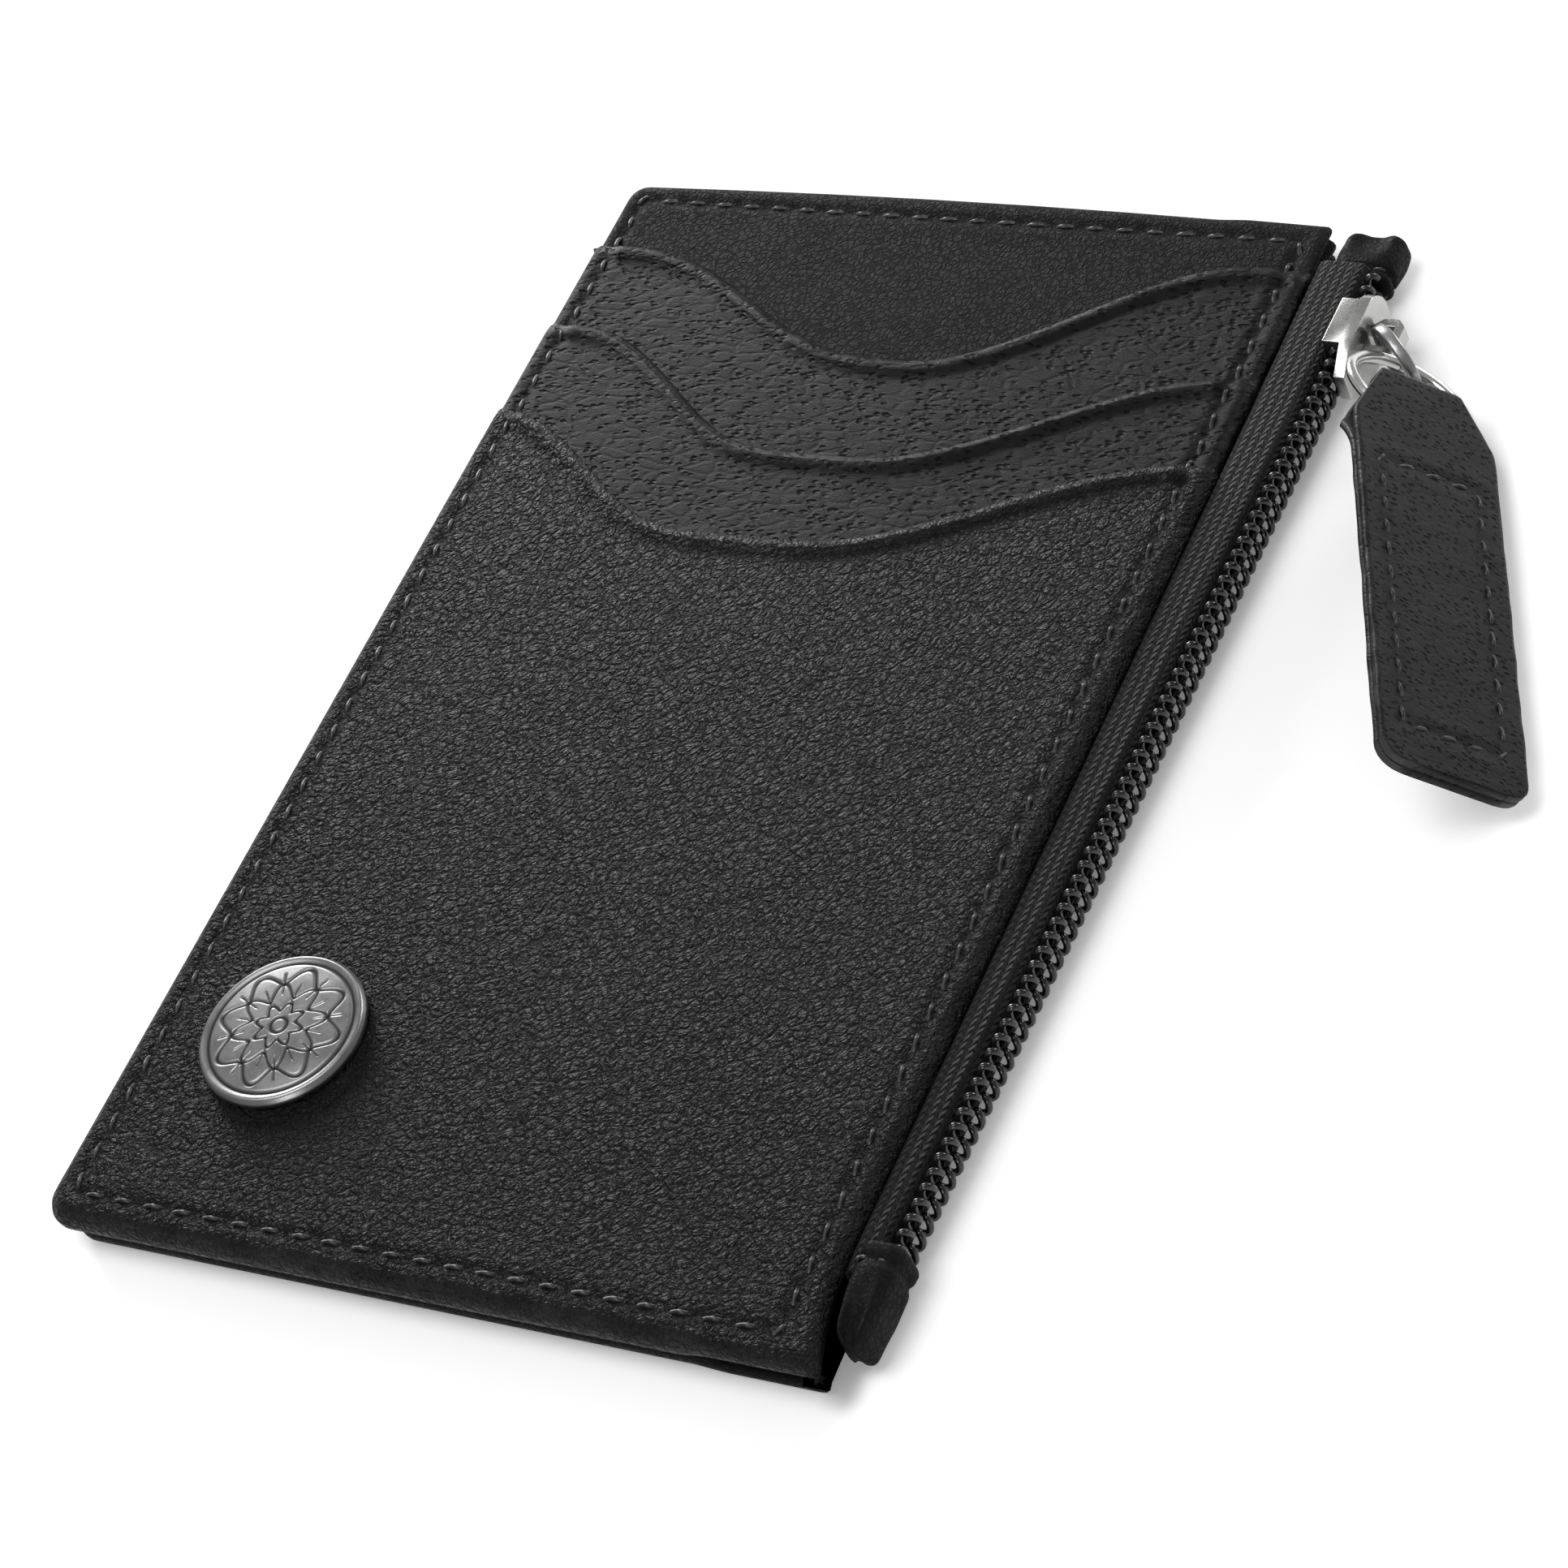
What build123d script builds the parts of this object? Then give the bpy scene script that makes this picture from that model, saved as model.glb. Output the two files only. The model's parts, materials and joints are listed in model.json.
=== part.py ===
from build123d import *
import os
from math import atan, cos, degrees, pi, radians, sin, sqrt

# Flat leather coin purse: a zipped coin pocket behind three stacked card pockets.
# Millimetres. It lies on its back: +Z is the card side, +Y the pocket mouths, +X the zip.
# The origin is the middle of the back panel's outer face.

os.makedirs("parts", exist_ok=True)

# ---------------------------------------------------------------- driving dimensions
panel_length = 120.0          # bottom edge to top edge
panel_width = 73.0            # left edge to the zip side at its narrowest
top_bow = 0.7                 # the top edge bows out by this much at its middle
zip_side_spread = 0.6         # the zip side is this much wider at the top than low down
corner_flare = 2.0            # the bottom corner beside the zip flares out by this much
flare_length = 12.0
corner_radius = 2.6
zip_corner_radius = 0.9
back_inset = 0.8              # the back panel is a little smaller all round

back_skin = 0.7
hem_thickness = 0.6           # turned-over edge, and the board that fills it level
hem_width = 7.0
lining_thickness = 0.3
coin_gap = 1.2                # empty coin pocket, pressed flat
coin_seam = 4.0               # width of the seam round three sides of the coin pocket
base_skin = 0.6
pocket_leather = 0.4

# Each pocket mouth is a left and a right shoulder with a dip between two smooth ramps.
# Depths are below the top edge, and the ramps run between places along X:
# (left depth, dip depth, right depth, left ramp from, to, right ramp from, to)
upper_mouth = (9.0, 20.2, 6.4, -31.0, -1.0, 2.0, 32.0)
middle_mouth = (19.4, 32.0, 19.5, -32.0, -6.0, 2.0, 36.0)
front_mouth = (30.3, 42.2, 29.6, -36.0, -10.0, 0.0, 37.0)
mouth_points = 17

zip_above_low_edge = 9.0      # the chain's ends, from the panel's ends
zip_below_top_edge = 5.2
chain_reach = 5.4             # outer face of the chain at mid-length, from the panel edge
chain_lean = 0.026            # the chain stands further out towards the top
chain_z = 3.15
tape_thickness = 0.45
tape_grip = 8.0               # how far the tape reaches in under the panel edge
tape_clear = 0.55             # tape to panel edge, where the tape turns up
coil_depth = 1.3
coil_height = 1.5             # one half of the chain, across
chain_gap = 0.9               # slot between the halves, where the slider's web runs
running = 0.15                # clearance all round the slider

cap_wrap = 3.0                # the end caps reach this far over the chain
low_cap_beyond = 6.0          # and this far beyond its ends
high_cap_beyond = 4.5
cap_wall = 0.55

slider_stop_gap = 0.3         # slider to the top end cap, with the zip closed
slider_below = 4.6
slider_above = 5.0
slider_half_width = 3.0
slider_plate = 1.1
slider_side = 0.8
slider_web = 0.6
shoulder_share = 0.62           # shares of the slider's half width and length
tip_share = 0.45
flank_share = 0.6
nose_share = 0.9
web_at = 0.55
web_share = 0.4
crown_bevel = 0.8               # of the crown's wire
fold_round = 0.9                # of the tab's leaf
wire_half = 0.55                # half the ring's wire, and a little more
bend_share = 0.55               # least bend in a tape, against its thickness
inner_plate_half = 0.8
inner_plate = 0.8

crown_at = 1.0                # crown and puller hinge, above the slider's middle
crown_span = 1.1              # half of the opening under the crown
crown_room = 1.9              # height of that opening
crown_wire = 0.9
crown_half_width = 0.8

puller_angle = 50.0           # how far the puller stands out from the chain
puller_radius = 3.6           # half the plate's length, before it is cut off at the bar
puller_thickness = 1.0
puller_bar = 0.6              # half of the bar in the crown
puller_rim = 1.3              # plate beyond the hole
puller_side = 1.23            # and beside it

ring_wire = 1.1
ring_radius = 5.45            # to the middle of the wire
ring_slack = 0.14             # clearance round the wire in the puller's hole
seat_share = 0.64             # the slanting wire's reach in the hole, per wire: above its middle,
ring_slant = 1.12             # below it,
ring_spread = 1.32            # and to either side
ring_heading = 30.0           # from the puller towards the tab, from -Y towards +X
ring_pitch = 15.4             # and upwards

tab_heading = 23.3            # long direction, from -Y towards +X
tab_roll = 45.9               # the outer long edge leans down by this much
tab_width = 13.5
tab_below = 32.6              # from the top stitch line down
tab_above = 11.2              # and up to the fold
fold_slope = 6.0              # length of the slanted sides below the fold
fold_ring_room = 0.65         # beside the fold, for the slanting ring
loop_straight = 2.8           # the open loop behind the fold, and where it closes
loop_taper = 4.4
tab_leaf = 0.8
tab_loop_gap = 2.6
tab_corner = 2.0
loop_clear = 0.15
loop_room = 3.0               # empty loop above the ring

badge_from_left = 14.5        # the badge's middle, from the left and bottom edges
badge_from_low = 20.6
badge_radius = 7.6
badge_edge = 1.0
badge_dome = 0.5
stem_radius = 1.2
washer_radius = 2.6
washer_thickness = 0.25

stitch_pitch = 3.0
stitch_length = 2.1
stitch_width = 0.5
cap_stitch_at = (0.3, 0.8)      # where the two stitches lie across an end cap
cap_stitch_share = 0.4          # length of one, against the cap's width
stitch_proud = 0.12
stitch_inset = 2.6            # perimeter line, from the panel's edge
tab_stitch_half = 4.65
tab_stitch_length = 28.7

# ---------------------------------------------------------------- places worked out from them
left_x = -panel_width / 2
right_x = panel_width / 2
low_y = -panel_length / 2
high_y = panel_length / 2
badge_x = left_x + badge_from_left
badge_y = low_y + badge_from_low
zip_low = low_y + zip_above_low_edge
zip_high = high_y - zip_below_top_edge
chain_x = right_x + chain_reach
slider_y = zip_high - cap_wrap - slider_stop_gap - slider_above
ring_seat = crown_span + crown_wire + crown_room / 2 + ring_wire * seat_share
puller_hole_end = ring_seat + ring_wire * ring_slant + ring_slack
puller_hole_half = ring_wire * ring_spread + 3 * ring_slack
puller_half_width = puller_hole_half + puller_side
ring_below_fold = loop_room + tab_leaf + ring_wire * wire_half
ring_chord = sqrt(ring_radius ** 2 - (ring_radius - ring_below_fold + tab_leaf) ** 2)
fold_width = 2 * (ring_chord - (ring_wire + tab_leaf) / 2 - fold_ring_room)
level_back_hem = back_skin
level_back_lining = level_back_hem + hem_thickness
level_coin_floor = level_back_lining + lining_thickness
level_coin_roof = level_coin_floor + coin_gap
level_front_hem = level_coin_roof + lining_thickness
level_base = level_front_hem + hem_thickness
level_upper = level_base + base_skin
level_middle = level_upper + pocket_leather
level_front = level_middle + pocket_leather
level_top = level_front + pocket_leather


def ramp(t):
    """Smooth step from 0 to 1."""
    t = min(max(t, 0.0), 1.0)
    return (1 - cos(pi * t)) / 2


def mouth_y(mouth, x):
    """Height of a pocket's mouth at x."""
    left, dip, right, left_from, left_to, right_from, right_to = mouth
    drop = (dip - left) * ramp((x - left_from) / (left_to - left_from))
    rise = (dip - right) * ramp((x - right_from) / (right_to - right_from))
    return high_y - left - drop + rise


def panel_edge(y):
    """The panel's zip side above the flare."""
    return right_x + zip_side_spread * (y - low_y - flare_length) / (panel_length - flare_length)


def chain_face(y):
    return chain_x + chain_lean * y


def panel(inset):
    """The panel's outline, drawn smaller by inset."""
    flare_y = low_y + flare_length
    corner = (right_x + corner_flare - inset, low_y + inset)
    top_left = (left_x + inset, high_y - inset)
    top_right = (panel_edge(high_y) - inset, high_y - inset)
    with BuildSketch() as outline:
        with BuildLine():
            Polyline(top_left, (left_x + inset, low_y + inset), corner)
            side = Line((right_x - inset, flare_y), top_right)
            TangentArc((right_x - inset, flare_y), corner, tangent=-(side % 0))
            ThreePointArc(top_right, (0, high_y - inset + top_bow), top_left)
        make_face()
        fillet(outline.vertices().group_by(Axis.X)[0], corner_radius)
        fillet(outline.vertices().sort_by_distance(top_right)[0], zip_corner_radius)
    return outline.sketch


def panel_rim(inset, width):
    """A band round the panel's edge."""
    with BuildSketch() as rim:
        add(panel(inset))
        add(panel(inset + width), mode=Mode.SUBTRACT)
    return rim.sketch


def pocket(mouth):
    """The panel's outline below a pocket's mouth."""
    reach = right_x + corner_flare + 1
    step = 2 * reach / (mouth_points - 1)
    curve = [(-reach + i * step, mouth_y(mouth, -reach + i * step)) for i in range(mouth_points)]
    with BuildSketch() as shape:
        with BuildLine():
            Spline(*curve)
            Polyline(curve[-1], (reach, low_y - 1), (-reach, low_y - 1), curve[0])
        make_face()
        add(panel(0), mode=Mode.INTERSECT)
    return shape.sketch


def surface_level(x, y):
    """Level of the card side's surface at a point of the panel."""
    if y < mouth_y(front_mouth, x):
        return level_top
    if y < mouth_y(middle_mouth, x):
        return level_front
    if y < mouth_y(upper_mouth, x):
        return level_middle
    return level_upper


def finish(builder, name):
    """Names a finished piece and writes it."""
    builder.part.label = name
    export_step(builder.part, f"parts/{name}.step")


# ---------------------------------------------------------------- stitch lines


def run_of_stitches(start, end):
    """Middle and angle of each stitch on a straight run, evenly spaced."""
    run = Vector(*end) - Vector(*start)
    count = max(int(run.length / stitch_pitch), 1)
    angle = degrees(run.get_signed_angle(Vector(1, 0, 0)) * pi / -180)
    places = [Vector(*start) + run * ((i + 0.5) / count) for i in range(count)]
    return [(place, angle) for place in places]


def perimeter(inset):
    """The stitch line round a panel, as corner points."""
    low = low_y + inset
    high = high_y - inset
    return [(left_x + inset, high), (left_x + inset, low), (right_x - inset, low),
            (panel_edge(high_y) - inset, high), (left_x + inset, high)]


def flat_spots(corner_points):
    """Where the stitches go round a line of corner points on a flat face."""
    spots = []
    for start, end in zip(corner_points, corner_points[1:]):
        for place, angle in run_of_stitches(start, end):
            spots.append(Location((place.X, place.Y, 0), (0, 0, angle)))
    return spots


on_surface = (Align.CENTER, Align.CENTER, Align.MIN)
back_spots = flat_spots(perimeter(back_inset + stitch_inset))

# ---------------------------------------------------------------- back panel
with BuildPart() as rear_leather:
    with BuildSketch():
        add(panel(back_inset))
    extrude(amount=back_skin)
    with BuildSketch(Plane.XY.offset(level_back_hem)):
        add(panel_rim(back_inset, hem_width))
    extrude(amount=hem_thickness)
    with Locations(*back_spots):
        Box(stitch_length, stitch_width, stitch_proud, align=on_surface, mode=Mode.SUBTRACT)
finish(rear_leather, "rear_leather")

with BuildPart() as rear_board:
    with BuildSketch(Plane.XY.offset(level_back_hem)):
        add(panel(back_inset + hem_width))
    extrude(amount=hem_thickness)
finish(rear_board, "rear_board")

# ---------------------------------------------------------------- coin pocket lining
lining_right = right_x - tape_grip


def lining_sheet():
    """The panel's outline, cut off where the zip tapes start."""
    with BuildSketch() as sheet:
        add(panel(back_inset))
        with Locations((lining_right, 0)):
            Rectangle(panel_width, panel_length * 2, align=(Align.MIN, Align.CENTER),
                      mode=Mode.SUBTRACT)
    return sheet.sketch


def coin_seam_band():
    """The seam along the left, bottom and top of the coin pocket."""
    with BuildSketch() as band:
        add(lining_sheet())
        with Locations((left_x + back_inset + coin_seam, 0)):
            Rectangle(panel_width, panel_length - 2 * (back_inset + coin_seam),
                      align=(Align.MIN, Align.CENTER), mode=Mode.SUBTRACT)
    return band.sketch


with BuildPart() as rear_lining:
    with BuildSketch(Plane.XY.offset(level_back_lining)):
        add(lining_sheet())
    extrude(amount=lining_thickness)
    with BuildSketch(Plane.XY.offset(level_coin_floor)):
        add(coin_seam_band())
    extrude(amount=coin_gap / 2)
finish(rear_lining, "rear_lining")

with BuildPart() as front_lining:
    with BuildSketch(Plane.XY.offset(level_coin_roof)):
        add(lining_sheet())
    extrude(amount=lining_thickness)
    with BuildSketch(Plane.XY.offset(level_coin_roof)):
        add(coin_seam_band())
    extrude(amount=-coin_gap / 2)
finish(front_lining, "front_lining")

# ---------------------------------------------------------------- card side
with BuildPart() as front_board:
    with BuildSketch(Plane.XY.offset(level_front_hem)):
        add(panel(hem_width))
    extrude(amount=hem_thickness)
finish(front_board, "front_board")

with BuildPart() as front_base:
    with BuildSketch(Plane.XY.offset(level_base)):
        add(panel(0))
    extrude(amount=base_skin)
    with BuildSketch(Plane.XY.offset(level_front_hem)):
        add(panel_rim(0, hem_width))
    extrude(amount=hem_thickness)
finish(front_base, "front_base")


with BuildPart() as upper_pocket:
    with BuildSketch(Plane.XY.offset(level_upper)):
        add(pocket(upper_mouth))
    extrude(amount=pocket_leather)
finish(upper_pocket, "upper_pocket")

with BuildPart() as middle_pocket:
    with BuildSketch(Plane.XY.offset(level_middle)):
        add(pocket(middle_mouth))
    extrude(amount=pocket_leather)
    with BuildSketch(Plane.XY.offset(level_front)):
        with Locations((badge_x, badge_y)):
            Circle(washer_radius)
    extrude(amount=-washer_thickness, mode=Mode.SUBTRACT)
finish(middle_pocket, "middle_pocket")

with BuildPart() as front_pocket:
    with BuildSketch(Plane.XY.offset(level_front)):
        add(pocket(front_mouth))
    extrude(amount=pocket_leather)
    with BuildSketch(Plane.XY.offset(level_front)):
        with Locations((badge_x, badge_y)):
            Circle(stem_radius)
    extrude(amount=pocket_leather, mode=Mode.SUBTRACT)
finish(front_pocket, "front_pocket")

# ---------------------------------------------------------------- badge
badge_profile = Plane(origin=(badge_x, badge_y, level_top), x_dir=(1, 0, 0), z_dir=(0, -1, 0))
with BuildPart() as badge_disc:
    with BuildSketch(badge_profile):
        with BuildLine():
            Polyline((0, badge_edge + badge_dome), (0, -pocket_leather - washer_thickness),
                     (stem_radius, -pocket_leather - washer_thickness), (stem_radius, 0),
                     (badge_radius, 0), (badge_radius, badge_edge))
            TangentArc((0, badge_edge + badge_dome), (badge_radius, badge_edge), tangent=(1, 0))
        make_face()
    revolve(axis=Axis((badge_x, badge_y, 0), (0, 0, 1)))
finish(badge_disc, "badge_disc")

with BuildPart() as badge_washer:
    with BuildSketch(Plane.XY.offset(level_front)):
        with Locations((badge_x, badge_y)):
            Circle(washer_radius)
            Circle(stem_radius, mode=Mode.SUBTRACT)
    extrude(amount=-washer_thickness)
finish(badge_washer, "badge_washer")

# ---------------------------------------------------------------- zip: tapes, coils, end pieces
tape_middle = coil_depth + tape_thickness / 2       # tape behind the coil, from the chain's face
bend_rise = coil_height + chain_gap / 2 - tape_thickness / 2


def section_plane(y):
    """A plane across the chain: local x is X, local y is Z."""
    return Plane.XZ.offset(-y)


def tape_section(y, side):
    """Tape section: flat under the panel edge, up beside it, out, and round to the chain."""
    exit_x = panel_edge(y) + tape_clear
    chain_line = chain_face(y) - tape_middle
    if side > 0:
        leaf_z = level_front_hem - tape_thickness / 2
    else:
        leaf_z = level_back_lining + tape_thickness / 2
    bend_z = chain_z + side * bend_rise
    edge_z = chain_z + side * chain_gap / 2
    with BuildSketch(section_plane(y)) as section:
        with BuildLine():
            FilletPolyline((lining_right, leaf_z), (exit_x, leaf_z),
                           (exit_x + tape_clear, bend_z - side * tape_thickness / 2),
                           (chain_line, bend_z), (chain_line, edge_z),
                           radius=tape_thickness * bend_share)
        trace(line_width=tape_thickness)
    return section.sketch


def bar_section(y, inner_x, outer_x, middle_z, height):
    """A rectangle across the chain, between two places along X."""
    with BuildSketch(section_plane(y)) as section:
        with Locations(((inner_x + outer_x) / 2, middle_z)):
            Rectangle(outer_x - inner_x, height)
    return section.sketch


def coil_section(y, side):
    middle_z = chain_z + side * (chain_gap + coil_height) / 2
    return bar_section(y, chain_face(y) - coil_depth, chain_face(y), middle_z, coil_height)


chain_ends = (zip_low, zip_high)

with BuildPart() as front_zip_tape:
    loft([tape_section(y, 1) for y in chain_ends], ruled=True)
finish(front_zip_tape, "front_zip_tape")

with BuildPart() as rear_zip_tape:
    loft([tape_section(y, -1) for y in chain_ends], ruled=True)
finish(rear_zip_tape, "rear_zip_tape")

with BuildPart() as front_zip_coil:
    loft([coil_section(y, 1) for y in chain_ends], ruled=True)
finish(front_zip_coil, "front_zip_coil")

with BuildPart() as rear_zip_coil:
    loft([coil_section(y, -1) for y in chain_ends], ruled=True)
finish(rear_zip_coil, "rear_zip_coil")

chain_half = coil_height + chain_gap / 2
cap_half = chain_half + cap_wall


def cap_section(y, wall):
    """End cap section, from beside the panel edge to just proud of the chain."""
    inner_x = panel_edge(y) + 2 * tape_clear + tape_thickness
    return bar_section(y, inner_x, chain_face(y) + wall, chain_z, 2 * (chain_half + wall))


def end_cap(chain_end, wrapped, far):
    """A leather end cap with a pocket that takes the end of the chain."""
    with BuildPart() as cap:
        loft([cap_section(y, cap_wall) for y in (wrapped, far)], ruled=True)
        loft([cap_section(y, 0) for y in (wrapped, chain_end)], ruled=True, mode=Mode.SUBTRACT)
    return cap


def gusset(start, end):
    """The folded lining strip that closes the coin pocket beyond the end of the zip."""
    with BuildPart() as strip:
        with BuildSketch(Plane.XY.offset(level_back_lining)):
            add(panel(back_inset))
            with Locations((lining_right, (start + end) / 2)):
                Rectangle(panel_width, abs(end - start),
                          align=(Align.MIN, Align.CENTER), mode=Mode.INTERSECT)
        extrude(amount=level_front_hem - level_back_lining)
    return strip


top_end_cap = end_cap(zip_high, zip_high - cap_wrap, zip_high + high_cap_beyond)
finish(top_end_cap, "top_end_cap")
bottom_end_cap = end_cap(zip_low, zip_low + cap_wrap, zip_low - low_cap_beyond)
finish(bottom_end_cap, "bottom_end_cap")
top_gusset = gusset(zip_high, high_y + top_bow)
finish(top_gusset, "top_gusset")
bottom_gusset = gusset(zip_low, low_y)
finish(bottom_gusset, "bottom_gusset")

# ---------------------------------------------------------------- slider
lean = atan(chain_lean)
along = Vector(sin(lean), cos(lean), 0)             # up the chain
outward = Vector(cos(lean), -sin(lean), 0)
upward = Vector(0, 0, 1)
slider_origin = Vector(chain_face(slider_y), slider_y, chain_z)
slider_face = Plane(origin=slider_origin, x_dir=along, z_dir=outward)
slider_side_view = Plane(origin=slider_origin, x_dir=along, z_dir=-upward)
plate_top = running + slider_plate
tape_back = coil_depth + tape_thickness + running
shoulder = slider_half_width * shoulder_share
tip = slider_half_width * tip_share
flank_top = slider_above * flank_share
flank_bottom = slider_below * tip_share
shoulder_at = slider_above * nose_share

with BuildPart() as slider_body:
    with BuildSketch(slider_face.offset(running)):
        with BuildLine():
            Polyline((-slider_below, -tip), (-flank_bottom, -slider_half_width),
                     (flank_top, -slider_half_width))
            ThreePointArc((flank_top, -slider_half_width),
                          (shoulder_at, -shoulder), (slider_above, 0))
            ThreePointArc((slider_above, 0), (shoulder_at, shoulder),
                          (flank_top, slider_half_width))
            Polyline((flank_top, slider_half_width),
                     (-flank_bottom, slider_half_width), (-slider_below, tip))
            Line((-slider_below, tip), (-slider_below, -tip))
        make_face()
    extrude(amount=slider_plate)
    side_length = flank_top + flank_bottom
    for side in (-1, 1):
        with BuildSketch(slider_face.offset(-coil_depth - running)):
            with Locations(((flank_top - flank_bottom) / 2,
                            side * (slider_half_width - slider_side / 2))):
                Rectangle(side_length, slider_side)
        extrude(amount=coil_depth + 2 * running)
    with BuildSketch(slider_face.offset(-tape_back - inner_plate)):
        SlotOverall(slider_below + slider_above - 2 * inner_plate_half, 2 * inner_plate_half)
    extrude(amount=inner_plate)
    with BuildSketch(slider_face.offset(-tape_back - inner_plate / 2)):
        with Locations((slider_above * web_at, 0)):
            SlotOverall(slider_above * web_share, slider_web)
    extrude(amount=tape_back + inner_plate / 2 + 2 * running)
finish(slider_body, "slider_body")

crown_top = crown_room + crown_wire
with BuildPart() as slider_crown:
    with BuildSketch(slider_side_view):
        with Locations((crown_at, plate_top)):
            Rectangle(2 * (crown_span + crown_wire), crown_top, align=(Align.CENTER, Align.MIN))
        chamfer(vertices().group_by(Axis.X)[-1], crown_wire * crown_bevel)
        with Locations((crown_at, plate_top)):
            Rectangle(2 * crown_span, crown_room, align=(Align.CENTER, Align.MIN),
                      mode=Mode.SUBTRACT)
    extrude(amount=crown_half_width, both=True)
finish(slider_crown, "slider_crown")

# ---------------------------------------------------------------- puller
hinge = slider_origin + along * crown_at + outward * (plate_top + crown_room / 2)
pull = outward * sin(radians(puller_angle)) - along * cos(radians(puller_angle))
puller_normal = outward * cos(radians(puller_angle)) + along * sin(radians(puller_angle))
puller_plane = Plane(origin=hinge, x_dir=pull, z_dir=puller_normal)
puller_end = puller_hole_end + puller_rim

with BuildPart() as zip_puller:
    with BuildSketch(puller_plane):
        with Locations((puller_end - puller_radius, 0)):
            Ellipse(puller_radius, puller_half_width)
        with Locations((-puller_bar, 0)):
            Rectangle(puller_radius, 4 * puller_radius, align=(Align.MAX, Align.CENTER),
                      mode=Mode.SUBTRACT)
        with Locations(((puller_bar + puller_hole_end) / 2, 0)):
            RectangleRounded(puller_hole_end - puller_bar, 2 * puller_hole_half, 0.4,
                             mode=Mode.SUBTRACT)
    extrude(amount=puller_thickness / 2, both=True)
finish(zip_puller, "zip_puller")

# ---------------------------------------------------------------- tab directions and the ring
tab_down = Vector(sin(radians(tab_heading)), -cos(radians(tab_heading)), 0)
tab_side = Vector(cos(radians(tab_heading)), sin(radians(tab_heading)), 0)
tab_across = tab_side * cos(radians(tab_roll)) - upward * sin(radians(tab_roll))
tab_normal = tab_across.cross(-tab_down)

ring_top = hinge + pull * ring_seat
ring_down = (Vector(sin(radians(ring_heading)), -cos(radians(ring_heading)), 0)
             * cos(radians(ring_pitch)) + upward * sin(radians(ring_pitch)))
ring_across = (tab_across - ring_down * tab_across.dot(ring_down)).normalized()
ring_normal = ring_across.cross(-ring_down)
ring_centre = ring_top + ring_down * ring_radius
ring_low = ring_centre + ring_down * ring_radius

with BuildPart() as pull_ring:
    with BuildSketch(Plane(origin=ring_top, x_dir=ring_normal, z_dir=ring_across)):
        Circle(ring_wire / 2)
    revolve(axis=Axis(ring_centre, ring_normal))
finish(pull_ring, "pull_ring")

# ---------------------------------------------------------------- pull tab
wire_depth = tab_leaf + loop_clear + ring_wire / 2
tab_origin = ring_low + tab_normal * wire_depth + tab_down * (tab_above - ring_below_fold)
tab_face = Plane(origin=tab_origin, x_dir=tab_across, z_dir=tab_normal)
tab_edge_view = Plane(origin=tab_origin, x_dir=-tab_down, z_dir=tab_across)

with BuildPart() as tab_leather:
    sewn_back = -2 * tab_leaf
    loop_back = sewn_back - tab_loop_gap
    loop_end = tab_above - tab_leaf - loop_straight
    with BuildSketch(tab_edge_view):
        with BuildLine():
            Polyline((-tab_below, 0), (tab_above, 0), (tab_above, loop_back),
                     (loop_end, loop_back), (loop_end - loop_taper, sewn_back),
                     (-tab_below, sewn_back), (-tab_below, 0))
        make_face()
        fillet(vertices().group_by(Axis.X)[-1], tab_leaf * fold_round)
        with BuildLine():
            Polyline((tab_above - tab_leaf, -tab_leaf),
                     (tab_above - tab_leaf, loop_back + tab_leaf),
                     (loop_end, loop_back + tab_leaf), (loop_end - loop_taper, -tab_leaf),
                     (tab_above - tab_leaf, -tab_leaf))
        make_face(mode=Mode.SUBTRACT)
    extrude(amount=tab_width, both=True)
    with BuildSketch(tab_face.offset(tab_leaf)):
        with BuildLine():
            slant_y = tab_above - fold_slope
            Polyline((-fold_width / 2, tab_above), (fold_width / 2, tab_above),
                     (tab_width / 2, slant_y), (tab_width / 2, -tab_below),
                     (-tab_width / 2, -tab_below), (-tab_width / 2, slant_y),
                     (-fold_width / 2, tab_above))
        make_face()
        fillet(vertices().group_by(Axis.Y)[0], tab_corner)
    extrude(amount=-4 * tab_leaf - tab_loop_gap, mode=Mode.INTERSECT)
finish(tab_leather, "tab_leather")

# ---------------------------------------------------------------- stitching


def surface_under(place, angle):
    """Highest level under a stitch, which may bridge a pocket's edge."""
    reach = Vector(cos(radians(angle)), sin(radians(angle)), 0) * stitch_length / 2
    spots = (place - reach, place, place + reach)
    return max(surface_level(spot.X, spot.Y) for spot in spots)


corners = perimeter(stitch_inset)
front_spots = []
for start, end in zip(corners, corners[1:]):
    for place, angle in run_of_stitches(start, end):
        level = surface_under(place, angle)
        front_spots.append(Location((place.X, place.Y, level), (0, 0, angle)))
with BuildPart() as front_stitching:
    with Locations(*front_spots):
        Box(stitch_length, stitch_width, stitch_proud, align=on_surface)
finish(front_stitching, "front_stitching")

with BuildPart() as rear_stitching:
    with Locations(*back_spots):
        Box(stitch_length, stitch_width, stitch_proud, align=on_surface)
finish(rear_stitching, "rear_stitching")

tab_corners = [(-tab_stitch_half, 0), (tab_stitch_half, 0),
               (tab_stitch_half, -tab_stitch_length), (-tab_stitch_half, -tab_stitch_length),
               (-tab_stitch_half, 0)]
with BuildPart(tab_face) as tab_stitching:
    with Locations(*flat_spots(tab_corners)):
        Box(stitch_length, stitch_width, stitch_proud, align=on_surface)
finish(tab_stitching, "tab_stitching")

with BuildPart() as end_cap_stitching:
    for y in (zip_low + cap_wrap / 2, zip_high - cap_wrap / 2):
        first = panel_edge(y) + 2 * tape_clear + tape_thickness
        across = chain_face(y) - first
        for share in cap_stitch_at:
            with Locations((first + across * share, y, chain_z + cap_half)):
                Box(across * cap_stitch_share, stitch_width, stitch_proud, align=on_surface)
finish(end_cap_stitching, "end_cap_stitching")

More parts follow.
